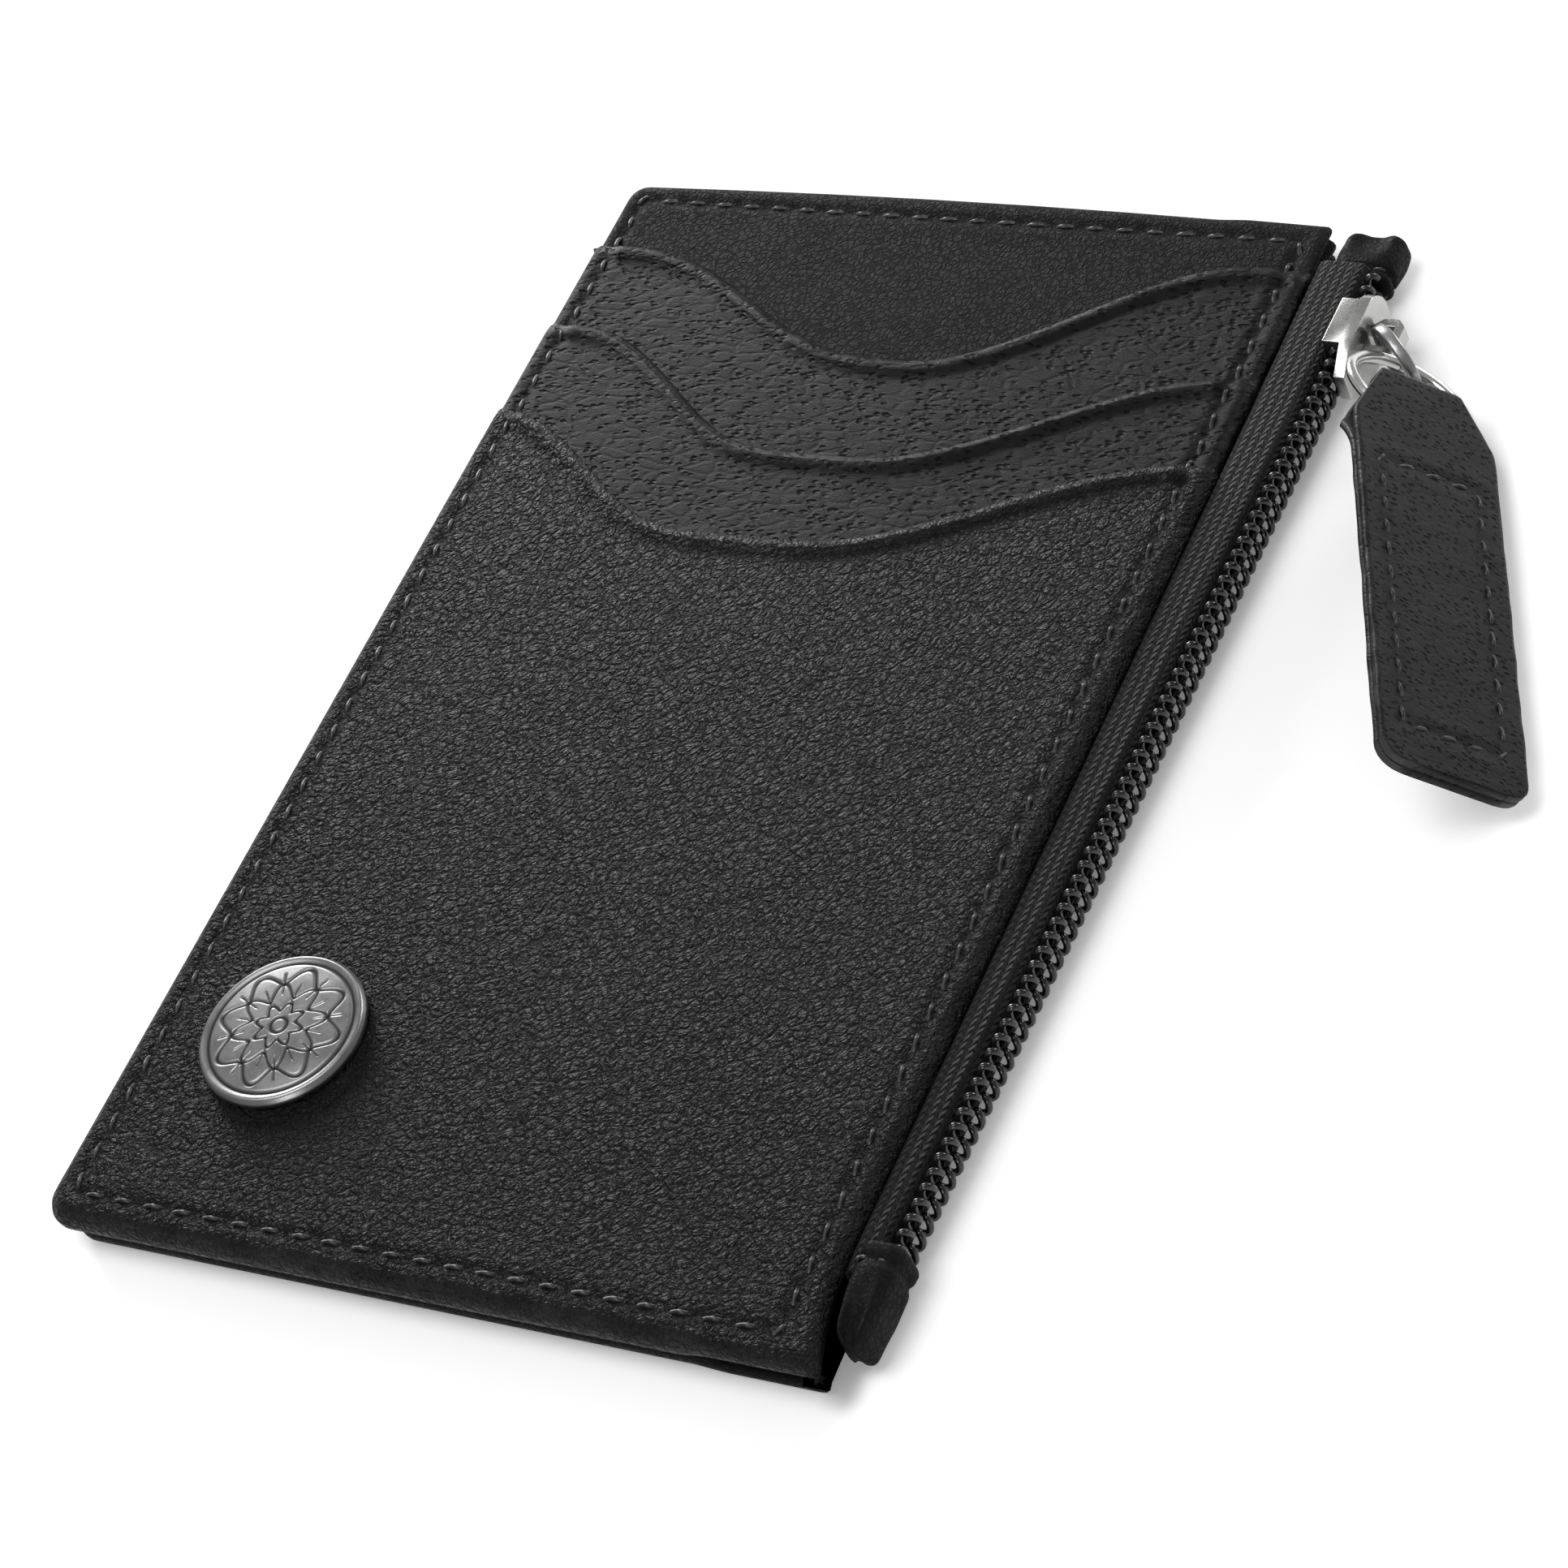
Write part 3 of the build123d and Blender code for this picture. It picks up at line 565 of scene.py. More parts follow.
def inside(points, line):
    """True for the points that a closed line goes round."""
    within = np.zeros(len(points), bool)
    for (x0, y0), (x1, y1) in zip(line, np.roll(line, -1, axis=0)):
        if y0 != y1:
            crosses = (points[:, 1] < y0) != (points[:, 1] < y1)
            at = x0 + (points[:, 1] - y0) * (x1 - x0) / (y1 - y0)
            within ^= crosses & (points[:, 0] < at)
    return within


def inwards(line):
    """Unit directions that point into a closed anticlockwise line."""
    along = np.roll(line, -1, axis=0) - np.roll(line, 1, axis=0)
    along /= np.linalg.norm(along, axis=1)[:, None]
    return np.column_stack([-along[:, 1], along[:, 0]])


front_edge = flat_outline("front_base", 1)
rear_edge = flat_outline("rear_leather", -1)
pocket_edges = {name: flat_outline(name, 1) for name in ("upper_pocket", "middle_pocket", "front_pocket")}
print("panel outline:", len(front_edge), "points,", np.ptp(front_edge, axis=0).round(1), "mm")

# %% [markdown]
# ## Levels and stitch lines
# All heights come from the CAD boxes. The front panel is fuller than the CAD slab: its
# turned edges reach down to meet the back panel's on three sides, and stop above the
# tape on the zip side.

# %% Levels of the stack
panel_low, panel_high = box("front_base")
rear_high = box("rear_leather")[1]
level_base = panel_high[2]
levels = {name: box(name)[1][2] for name in pocket_edges}
left_x = panel_low[0]
zip_side_low = panel_low[2]
parting = (rear_high[2] + zip_side_low) / 2
right_side = front_edge[front_edge[:, 0] > panel_high[0] - 4]
right_side = right_side[np.argsort(right_side[:, 1])]


def panel_side(y):
    """X of the panel's zip side at y."""
    return np.interp(y, right_side[:, 1], right_side[:, 0])


def stitch_line(node_name):
    """Corner points of a line of perimeter stitches, from its CAD node's box."""
    low, high = box(node_name)
    half = 0.25
    low_right = panel_side(0) - (low[0] + half - left_x)
    return np.array([(low[0] + half, high[1] - half), (low[0] + half, low[1] + half),
                     (low_right, low[1] + half), (high[0] - half, high[1] - half)])


front_stitch_line = stitch_line("front_stitching")
rear_stitch_line = stitch_line("rear_stitching")
print("levels:", {name: round(float(z), 2) for name, z in levels.items()},
      "parting", round(float(parting), 2))

# %% [markdown]
# ## How a leather sheet is made
# Each leaf is one surface: a triangulated fill that is finer near its edges, lifted to a
# height that a formula gives. Near the panel's edge the height follows a quarter circle,
# and a strip below carries the leather on round the edge, as a turned hem does. At a
# pocket's mouth the leather is folded over a thin core, which shows as a round bead with
# a crease behind it. Along the stitches the thread pulls a shallow groove, deepest at the
# needle holes. A Solidify modifier then gives the thin leaves their thickness. Displacing
# one dense grid would be simpler, but it would cut the mouths' curves into steps.

# %% Sizes shared by the panel's leaves
edge_spacing = 0.55
fine_spacing = 0.48
coarse_spacing = 1.05
fine_band = 4.2
stitch_pitch = 3.0
bead_width = 0.85
bead_rise = 0.34
crease_at = 2.05


def panel_floor(x, zip_low):
    """Lowest level of the turned edge: higher beside the zip."""
    return parting + 0.06 + (zip_low - parting) * smooth(x, 25.0, 29.0)


def stitch_groove(points, line, depth):
    """The groove and needle holes that a line of stitches pulls."""
    away, along = nearest(points, line)
    hole = bump_at((along / stitch_pitch) % 1.0 - 0.5, 0.14) * bump_at(away, 0.42)
    return -depth * bump_at(away, 0.55) - 0.7 * depth * hole + 0.35 * depth * bump_at(away - 1.15, 0.6)


def fill_points(edge, keep_off, depths):
    """Points for a leaf: its edge, rings that follow the edge's roll, and a fill."""
    normal = inwards(edge)
    rings = []
    for depth in depths:
        ring = edge + normal * depth
        rings.append(ring[nearest(ring, edge)[0] > 0.93 * depth])
    low, high = edge.min(0), edge.max(0)
    fills = []
    for spacing, nearer, further in ((fine_spacing, keep_off + 0.25, fine_band),
                                     (coarse_spacing, fine_band, 1e3)):
        x, y = np.meshgrid(np.arange(low[0], high[0], spacing), np.arange(low[1], high[1], spacing * 0.87))
        x[1::2] += spacing / 2
        grid = np.column_stack([x.ravel(), y.ravel()])
        grid = grid[inside(grid, edge)]
        away = nearest(grid, edge)[0]
        fills.append(grid[(away > nearer) & (away <= further)])
    return np.vstack([edge, *rings, *fills])


def triangulate(points, edge_count):
    """Triangles inside the edge, with the edge's points kept first and in order."""
    filled = geometry.delaunay_2d_cdt([Vector(point) for point in points], [],
                                      [list(range(edge_count))], 1, 1e-6)
    flat = np.array([point.to_tuple() for point in filled[0]])
    order = {origin: index for index, origins in enumerate(filled[3]) for origin in origins}
    rim = [order[index] for index in range(edge_count)]
    return flat, [tuple(face) for face in filled[2]], rim


# %% Height of a leaf and its turned edge
def mark_wear_and_highlight(made, amounts):
    """Store on each point how much paler the leather finishes paint it: partly abrasion, partly painted
    highlight.
    """
    layer = made.data.attributes.new("wear_and_highlight", "FLOAT", "POINT")
    layer.data.foreach_set("value", np.array(amounts, np.float32))


def leaf_height(flat, edge, level, radius, mouth):
    """Heights over a leaf, and how much paler each point is painted: partly abrasion, partly painted
    highlight on the edge roll and the mouth bead.
    """
    to_panel = nearest(flat, edge)[0]
    curve = np.clip(radius - to_panel, 0, radius)
    z = level - radius + np.sqrt(np.maximum(radius ** 2 - curve ** 2, 0))
    z += smooth(to_panel, 0.5, 6.0) * (0.13 * waviness(flat, 21.0, 3.1) + 0.05 * waviness(flat, 6.5, 8.2))
    z += smooth(to_panel, 0.3, 1.4) * stitch_groove(flat, front_stitch_line, 0.16)
    # painted highlight, partly abrasion: the edge roll is marked paler
    wear_and_highlight = 0.45 * bump_at(to_panel - 0.35 * radius, 0.5)
    if mouth is not None:
        to_mouth = nearest(flat, mouth, closed=False)[0]
        rounded = np.sqrt(np.maximum(1 - (1 - np.clip(to_mouth / bead_width, 0, 1)) ** 2, 0))
        settle = smooth(to_mouth, bead_width, 2.1 * bead_width)
        bead = -0.26 + (0.26 + bead_rise) * rounded - bead_rise * settle
        bead -= 0.12 * bump_at(to_mouth - crease_at, 0.3)
        firm = smooth(to_panel, 0.4, 3.4)
        z += firm * bead + (1 - firm) * -0.12 * bump_at(to_mouth, 0.5)
        # painted highlight, partly abrasion: the mouth bead is marked paler
        wear_and_highlight = np.maximum(wear_and_highlight, bump_at(to_mouth - 0.6 * bead_width, 0.5))
    return z, wear_and_highlight


def leaf(name, outline, level, inset, low_offset, mouth_of, material, bottom=None):
    """One leaf of the front: its fill, its turned edge and, for the base, its closed back."""
    panel_line = evenly(front_edge, edge_spacing)
    panel_line = panel_line + inwards(panel_line) * inset
    edge = evenly(outline, edge_spacing)
    outer = nearest(edge, front_edge)[0] < 0.06
    edge[outer] += inwards(edge)[outer] * inset
    mouth = edge[~outer] if mouth_of else None
    if mouth is not None:
        mouth = mouth[np.argsort(mouth[:, 0])]
    widest = (level - parting) / 2
    depths = [widest * share for share in (0.05, 0.16, 0.36, 0.64, 1.0)]
    flat, faces, rim = triangulate(fill_points(edge, widest, depths), len(edge))
    lowest = panel_floor(flat[:, 0], zip_side_low) + low_offset
    z, wear_and_highlight = leaf_height(flat, panel_line, level, (level - lowest) / 2, mouth)
    points = [tuple(point) for point in np.column_stack([flat, z])]
    wear_and_highlight_amounts = list(wear_and_highlight)
    normal = inwards(edge)
    rim_low = lowest[rim]
    radius = (level - rim_low) / 2
    strip = [dict(zip(range(len(edge)), rim))]
    for angle in (18, 42, 66, 90):
        turn = math.radians(angle)
        ring = {}
        for index in np.flatnonzero(outer):
            ring[index] = len(points)
            x, y = edge[index] + normal[index] * radius[index] * (1 - math.cos(turn))
            points.append((x, y, rim_low[index] + radius[index] * (1 - math.sin(turn))))
            # painted highlight, partly abrasion: the turned edge is marked a little paler
            wear_and_highlight_amounts.append(0.2)
        strip.append(ring)
    if bottom is not None:
        ring = {}
        for index in np.flatnonzero(outer):
            ring[index] = len(points)
            x, y = edge[index] + normal[index] * (radius[index] + 0.7)
            points.append((x, y, max(bottom, rim_low[index] + 0.02)))
            wear_and_highlight_amounts.append(0.0)
        strip.append(ring)
    for above, below in zip(strip, strip[1:]):
        for index in below:
            following = (index + 1) % len(edge)
            if following in below:
                faces.append((above[index], below[index], below[following], above[following]))
    if bottom is not None:
        faces.append(tuple(reversed(list(strip[-1].values()))))
    made = place(name, points, faces, material)
    mark_wear_and_highlight(made, wear_and_highlight_amounts)
    return made


# %% [markdown]
# ## The front panel and its three card pockets
# The base leather closes round its stiffening; the pockets lie on it one over another,
# each a shade wider than the one below, so that its edge shows as a small step at the
# side, as stacked leaves do.

# %% Front base leather
front_panel = leaf("front_panel", front_edge, level_base, 0.56, 0.09, False, shell_leather, zip_side_low)
hand_over(front_panel, "purse", "smooth_leather", "front_base")

# %% Card pockets
leaf_thickness = levels["front_pocket"] - levels["middle_pocket"]
pocket_plan = (("upper_pocket", 0.28, 0.06, card_leather, "pocket_leather"),
               ("middle_pocket", 0.14, 0.03, card_leather, "pocket_leather"),
               ("front_pocket", 0.0, 0.0, front_leather, "black_leather"))
for node_name, inset, low_offset, material, slot_name in pocket_plan:
    pocket_leaf = leaf(node_name + "_leaf", pocket_edges[node_name], levels[node_name], inset, low_offset,
                       True, material)
    thicken = pocket_leaf.modifiers.new("leather thickness", "SOLIDIFY")
    thicken.thickness = 0.85 * leaf_thickness * mm
    thicken.offset = -1
    hand_over(pocket_leaf, "purse", slot_name, node_name)

# %% [markdown]
# ## The back panel
# It is made the same way and then turned over: the outer face is underneath, so its
# heights are measured down from the parting line.

# %% Back panel
def back_panel():
    edge = evenly(rear_edge, edge_spacing)
    thickness = parting - 0.05
    radius_most = thickness / 2
    depths = [radius_most * share for share in (0.05, 0.16, 0.36, 0.64, 1.0)]
    flat, faces, rim = triangulate(fill_points(edge, radius_most, depths), len(edge))
    top = thickness + (rear_high[2] - thickness) * smooth(flat[:, 0], 25.0, 29.0)
    radius = top / 2
    to_edge = nearest(flat, edge)[0]
    curve = np.clip(radius - to_edge, 0, radius)
    z = radius - np.sqrt(np.maximum(radius ** 2 - curve ** 2, 0))
    z -= smooth(to_edge, 0.3, 1.4) * np.minimum(stitch_groove(flat, rear_stitch_line, 0.16), 0)
    z += 0.06 * smooth(to_edge, 1.0, 6.0) * (1 + waviness(flat, 17.0, 5.5))
    points = [tuple(point) for point in np.column_stack([flat, z])]
    faces = [tuple(reversed(face)) for face in faces]
    normal = inwards(edge)
    strip = [rim]
    for angle in (18, 42, 66, 90):
        turn = math.radians(angle)
        strip.append(range(len(points), len(points) + len(edge)))
        for index, start in enumerate(edge):
            half = radius[rim[index]]
            x, y = start + normal[index] * half * (1 - math.cos(turn))
            points.append((x, y, half * (1 + math.sin(turn))))
    strip.append(range(len(points), len(points) + len(edge)))
    for index, start in enumerate(edge):
        x, y = start + normal[index] * (radius[rim[index]] + 0.7)
        points.append((x, y, rear_high[2]))
    for below, above in zip(strip, strip[1:]):
        for index in range(len(edge)):
            following = (index + 1) % len(edge)
            faces.append((below[index], below[following], above[following], above[index]))
    faces.append(tuple(strip[-1]))
    made = place("back_panel", points, faces, shell_leather)
    wear_and_highlight_mask = np.zeros(len(points), np.float32)
    # painted highlight, partly abrasion: the panel's edge is marked paler
    wear_and_highlight_mask[:len(flat)] = 0.5 * bump_at(to_edge - 0.4, 0.6)
    mark_wear_and_highlight(made, wear_and_highlight_mask)
    return made


hand_over(back_panel(), "purse", "smooth_leather", "rear_leather")

# %% [markdown]
# ## Stiffening boards and the coin pocket's lining
# The boards are hidden inside the panels and keep their CAD shape, with a pulp-board
# finish. The lining is two thin woven leaves sewn together on three sides, with a little
# slack in each, so a function makes both.

# %% Boards
for node_name in ("rear_board", "front_board"):
    cad[node_name].data.materials.clear()
    cad[node_name].data.materials.append(board)

# %% Lining leaves
def lining_leaf(node_name, side):
    """A slack woven leaf that curls to the sewn seam at its left, top and bottom."""
    low, high = box(node_name)
    flat_level = low[2] if side < 0 else high[2]
    seam_level = high[2] if side < 0 else low[2]
    columns = np.linspace(low[0] + 1.2, high[0], 56)
    rows = np.linspace(low[1] + 1.2, high[1] - 1.9, 90)
    thickness = 0.22
    points = []
    for x in columns:
        for y in rows:
            seam = min(x - columns[0], y - rows[0], rows[-1] - y)
            curl = 1 - float(smooth(seam, 0.6, 4.0))
            slack = 0.08 * noise.noise(Vector((x / 14, y / 14, 2.0 + side))) * (1 - curl)
            lifted = flat_level + (seam_level - flat_level) * curl + side * (slack - thickness)
            points.append((x, y, lifted))
    faces = []
    for i in range(len(columns) - 1):
        for j in range(len(rows) - 1):
            corner = i * len(rows) + j
            faces.append((corner, corner + len(rows), corner + len(rows) + 1, corner + 1))
    made = place(node_name + "_leaf", points, faces, lining)
    solid = made.modifiers.new("cloth thickness", "SOLIDIFY")
    solid.thickness = thickness * mm
    solid.offset = 0
    return made


hand_over(lining_leaf("rear_lining", -1), "purse", "lining", "rear_lining")
hand_over(lining_leaf("front_lining", 1), "purse", "lining", "front_lining")

# %% [markdown]
# ## Stitches grown along a line
# Hundreds of stitches are the same short arc of thread, so Geometry Nodes place them: the
# seam is a line, the tree walks along it at the stitch pitch, sets one arc at each step,
# turned to follow the seam, and varies each a little from a fixed seed. Both ends of an
# arc dip into the leather's needle holes. The tree ends in Realize Instances and Set
# Material, and the result is turned into a plain mesh.

# %% Trees for repeated shapes
def new_tree(name, inputs):
    """A Geometry Nodes tree with named inputs."""
    tree = bpy.data.node_groups.new(name, "GeometryNodeTree")
    tree.interface.new_socket(name="Geometry", in_out="INPUT", socket_type="NodeSocketGeometry")
    for label, kind in inputs:
        tree.interface.new_socket(name=label, in_out="INPUT", socket_type="NodeSocket" + kind)
    tree.interface.new_socket(name="Geometry", in_out="OUTPUT", socket_type="NodeSocketGeometry")
    entry = tree.nodes.new("NodeGroupInput").outputs
    result = tree.nodes.new("NodeGroupOutput").inputs
    return tree, entry, result


def step(tree, kind, inputs, **settings):
    """One node: its settings, its inputs by name or number, and its outputs."""
    made = tree.nodes.new(kind)
    for label, value in settings.items():
        setattr(made, label, value)
    for label, value in inputs.items():
        feed(tree, made.inputs[label], value)
    return made.outputs


def grown(name, start, tree, **values):
    """Runs a tree on a starting object and returns the result as a plain mesh object."""
    run = start.modifiers.new(tree.name, "NODES")
    run.node_group = tree
    for socket in tree.interface.items_tree:
        label = socket.name.replace(" ", "_")
        if socket.in_out == "INPUT" and label in values:
            run[socket.identifier] = values[label]
    ready = start.evaluated_get(bpy.context.evaluated_depsgraph_get())
    mesh = bpy.data.meshes.new_from_object(ready)
    line_mesh = start.data
    bpy.data.objects.remove(start)
    bpy.data.meshes.remove(line_mesh)
    mesh.shade_smooth()
    made = bpy.data.objects.new(name, mesh)
    bpy.context.scene.collection.objects.link(made)
    return made


def seam(points, closed):
    """A line of edges through points in millimetres, for a tree to follow."""
    mesh = bpy.data.meshes.new("seam")
    count = len(points)
    edges = [(i, (i + 1) % count) for i in range(count if closed else count - 1)]
    mesh.from_pydata([tuple(float(value) * mm for value in point) for point in points], edges, [])
    made = bpy.data.objects.new("seam", mesh)
    bpy.context.scene.collection.objects.link(made)
    return made


# %% The stitch tree
stitches, entry, result = new_tree("stitches", [
    ("Pitch", "Float"), ("Stitch length", "Float"), ("Thread", "Float"), ("Seed", "Int"),
    ("Finish", "Material")])
half_stitch = maths(stitches, "MULTIPLY", entry["Stitch length"], 0.5)
dip = maths(stitches, "MULTIPLY", entry["Thread"], -0.9)
slant = maths(stitches, "MULTIPLY", entry["Thread"], 0.35)
lift = maths(stitches, "MULTIPLY", entry["Thread"], 1.0)


def thread_end(direction):
    return step(stitches, "ShaderNodeCombineXYZ", {
        "X": maths(stitches, "MULTIPLY", half_stitch, direction),
        "Y": maths(stitches, "MULTIPLY", slant, direction), "Z": dip})[0]


crown = step(stitches, "ShaderNodeCombineXYZ", {"Z": lift})[0]
arc = step(stitches, "GeometryNodeCurveQuadraticBezier", {
    "Resolution": 6, "Start": thread_end(-1.0), "Middle": crown, "End": thread_end(1.0)})[0]
share = step(stitches, "GeometryNodeSplineParameter", {})["Factor"]
arc = step(stitches, "GeometryNodeStoreNamedAttribute", {
    "Geometry": arc, "Name": "ply", "Value": maths(stitches, "MULTIPLY", share, 2.0)})[0]
thread_round = step(stitches, "GeometryNodeCurvePrimitiveCircle", {
    "Resolution": 6, "Radius": maths(stitches, "MULTIPLY", entry["Thread"], 0.5)})[0]
one_stitch = step(stitches, "GeometryNodeCurveToMesh", {
    "Curve": arc, "Profile Curve": thread_round, "Fill Caps": True})[0]
walk = step(stitches, "GeometryNodeMeshToCurve", {"Mesh": entry["Geometry"]})[0]
stops = step(stitches, "GeometryNodeCurveToPoints", {"Curve": walk, "Length": entry["Pitch"]},
             mode="LENGTH")
facing = step(stitches, "FunctionNodeAlignRotationToVector", {"Vector": stops["Tangent"]},
              axis="X", pivot_axis="Z")[0]
vary = step(stitches, "FunctionNodeRandomValue", {
    0: (0.9, 0.9, 0.85), 1: (1.05, 1.1, 1.15), "Seed": entry["Seed"]}, data_type="FLOAT_VECTOR")[0]
sewn = step(stitches, "GeometryNodeInstanceOnPoints", {
    "Points": stops["Points"], "Instance": one_stitch, "Rotation": facing, "Scale": vary})[0]
sewn = step(stitches, "GeometryNodeRealizeInstances", {"Geometry": sewn})[0]
sewn = step(stitches, "GeometryNodeSetMaterial", {"Geometry": sewn, "Material": entry["Finish"]})[0]
feed(stitches, result[0], sewn)
print("stitch tree:", len(stitches.nodes), "nodes")

# %% Perimeter stitching, front and back
stitch_length = 2.15
thread_thickness = 0.46


def card_side_level(points):
    """Level of the leather under each point of the card side, mouth steps rounded off."""
    level = np.full(len(points), float(level_base))
    for node_name, edge in pocket_edges.items():
        covered = inside(points, edge)
        rise = smooth(np.where(covered, 1, -1) * nearest(points, edge)[0], -1.2, 0.3)
        within = nearest(points, front_edge)[0]
        below_mouth = np.where(covered | (within > 0), rise, 0)
        level = np.maximum(level, level_base + (levels[node_name] - level_base) * below_mouth)
    return level


def perimeter_seam(line, level_at):
    """The seam's line, a little above the bottom of its groove."""
    points = evenly(line, 1.0)
    return seam(np.column_stack([points, level_at(points)]), True)


groove_floor = 0.13
front_seam = perimeter_seam(front_stitch_line, lambda points: card_side_level(points) - groove_floor)
front_stitches = grown("front_stitches", front_seam, stitches, Pitch=stitch_pitch * mm,
                       Stitch_length=stitch_length * mm, Thread=thread_thickness * mm, Seed=3, Finish=thread)
hand_over(front_stitches, "purse", "thread", "front_stitching")

rear_seam = perimeter_seam(rear_stitch_line, lambda points: np.zeros(len(points)) - groove_floor - 0.1)
rear_stitches = grown("rear_stitches", rear_seam, stitches, Pitch=stitch_pitch * mm,
                      Stitch_length=stitch_length * mm, Thread=thread_thickness * mm, Seed=8, Finish=thread)
rear_stitches.data.transform(Matrix.Scale(-1, 4, (0, 0, 1)))
rear_stitches.data.flip_normals()
hand_over(rear_stitches, "purse", "thread", "rear_stitching")

# %% [markdown]
# ## The stud
# A cast metal disc with a raised rim and an engraved rosette, riveted through the front
# pocket. The engraving is real relief: a disc of rings and spokes whose height follows a
# formula in radius and angle, so its lines stay crisp at any petal count. Painting the
# lines in the material would leave the disc flat from the side.

# %% Engraved disc
petals = 8
stud_low, stud_high = box("badge_disc")
stud_middle = (stud_low + stud_high) / 2
stud_radius = (stud_high[0] - stud_low[0]) / 2
stud_foot = levels["front_pocket"]


def rosette(share, angle):
    """How deep the engraving is, 0 to 1, at a share of the radius and an angle."""
    wave = np.cos(petals * angle)
    outer = bump_at(share - (0.68 + 0.10 * wave), 0.022)
    middle = bump_at(share - (0.47 - 0.10 * wave), 0.020)
    inner = bump_at(share - (0.25 + 0.05 * wave), 0.020)
    spoke = bump_at(np.sin(petals * angle / 2) * share, 0.022) * smooth(share, 0.28, 0.34)
    spoke = spoke * (1 - smooth(share, 0.52, 0.58))
    vein = bump_at(np.cos(petals * angle / 2) * share, 0.018) * smooth(share, 0.4, 0.46)
    vein = vein * (1 - smooth(share, 0.7, 0.76))
    eye = bump_at(share - 0.1, 0.02)
    ring = bump_at(share - 0.87, 0.02)
    return np.clip(np.maximum.reduce([outer, middle, inner, spoke, vein, eye, ring]), 0, 1)


def engraved_disc():
    spokes = 288
    shares = np.concatenate([np.linspace(0.012, 0.9, 74), np.linspace(0.915, 1.0, 9)])
    angles = np.arange(spokes) * 2 * math.pi / spokes
    edge_level = stud_high[2] - 0.5
    dome = stud_high[2] - edge_level
    points = [(stud_middle[0], stud_middle[1], stud_high[2])]
    engraved = [0.0]
    for share in shares:
        cut = rosette(np.full(spokes, share), angles) if share < 0.93 else np.zeros(spokes)
        rim = 0.10 * float(bump_at(share - 0.945, 0.03))
        round_off = 0.32 * float(smooth(share, 0.955, 1.0)) ** 2
        level = (edge_level + dome * (1 - share ** 2) - 0.06 * float(smooth(share, 0.6, 0.9))
                 + rim - round_off)
        for angle, depth in zip(angles, cut):
            points.append((stud_middle[0] + stud_radius * share * math.cos(angle),
                           stud_middle[1] + stud_radius * share * math.sin(angle), level - 0.17 * depth))
            engraved.append(depth)
    for share, level in ((1.0, stud_foot + 0.25), (0.985, stud_foot + 0.02), (0.16, stud_foot - 0.01),
                         (0.158, stud_low[2])):
        for angle in angles:
            points.append((stud_middle[0] + stud_radius * share * math.cos(angle),
                           stud_middle[1] + stud_radius * share * math.sin(angle), level))
            engraved.append(0.0)
    rings = (len(points) - 1) // spokes
    faces = [(0, 1 + j, 1 + (j + 1) % spokes) for j in range(spokes)]
    for i in range(rings - 1):
        for j in range(spokes):
            inner, outer = 1 + i * spokes, 1 + (i + 1) * spokes
            faces.append((inner + j, outer + j, outer + (j + 1) % spokes, inner + (j + 1) % spokes))
    last = 1 + (rings - 1) * spokes
    faces.append(tuple(last + j for j in reversed(range(spokes))))
    made = place("stud", points, faces, stud_metal)
    made.data.attributes.new("engraved", "FLOAT", "POINT").data.foreach_set(
        "value", np.array(engraved, np.float32))
    return made


hand_over(engraved_disc(), "purse", "badge_metal", "badge_disc")
cad["badge_washer"].data.materials.clear()
cad["badge_washer"].data.materials.append(puller_metal)

# %% [markdown]
# ## The zip
# A coil zip is one nylon wire wound into a flattened spring along each tape, and the two
# springs mesh. Seen from outside, the slanting strands of the two halves make a
# herringbone. A spiral is a rule, so Geometry Nodes wind it: a spiral curve, squashed to
# the coil's depth and width, with a round wire that swells at the meshing side. The tapes
# are knitted strips swept along the panel's side, with a UV map in millimetres for the
# knit.

# %% The chain's line, from the coils' boxes and the slide joint
def joint(name):
    return next(entry for entry in frame["joints"] if entry["name"] == name)


slide = Vector(joint("zip_slide")["axis"]).normalized()
chain_along = slide if slide.y > 0 else -slide
chain_outward = Vector((chain_along.y, -chain_along.x, 0))
coil_low, coil_high = box("front_zip_coil")
rear_coil_top = box("rear_zip_coil")[1][2]
chain_z = (coil_low[2] + rear_coil_top) / 2
chain_lean = chain_along.x / chain_along.y
coil_depth = (coil_high[0] - coil_low[0]) - chain_lean * (coil_high[1] - coil_low[1])
coil_width = coil_high[2] - coil_low[2]
chain_gap = coil_low[2] - rear_coil_top
zip_low, zip_high = coil_low[1], coil_high[1]


def chain_face(y):
    """X of the chain's outer face at y."""
    return coil_low[0] + coil_depth + chain_lean * (y - zip_low)


print("chain from", round(float(zip_low), 1), "to", round(float(zip_high), 1),
      "depth", round(float(coil_depth), 2))

# %% The coil tree
coil_tree, entry, result = new_tree("coil_half", [
    ("Turns", "Float"), ("Length", "Float"), ("Depth", "Float"), ("Width", "Float"), ("Wire", "Float"),
    ("Finish", "Material")])
spring = step(coil_tree, "GeometryNodeCurveSpiral", {
    "Resolution": 14, "Rotations": entry["Turns"], "Start Radius": 1.0, "End Radius": 1.0,
    "Height": entry["Length"]})[0]
squash = step(coil_tree, "ShaderNodeCombineXYZ", {
    "X": maths(coil_tree, "MULTIPLY", entry["Depth"], 0.5),
    "Y": maths(coil_tree, "MULTIPLY", entry["Width"], 0.5), "Z": 1.0})[0]
coil_place = step(coil_tree, "GeometryNodeInputPosition", {})[0]
head_side = step(coil_tree, "ShaderNodeSeparateXYZ", {0: coil_place})
swell = soft_step(coil_tree, head_side["Y"], 0.2, -0.95, 1.0, 1.28)
spring = step(coil_tree, "GeometryNodeSetCurveRadius", {"Curve": spring, "Radius": swell})[0]
spring = step(coil_tree, "GeometryNodeTransform", {"Geometry": spring, "Scale": squash})[0]
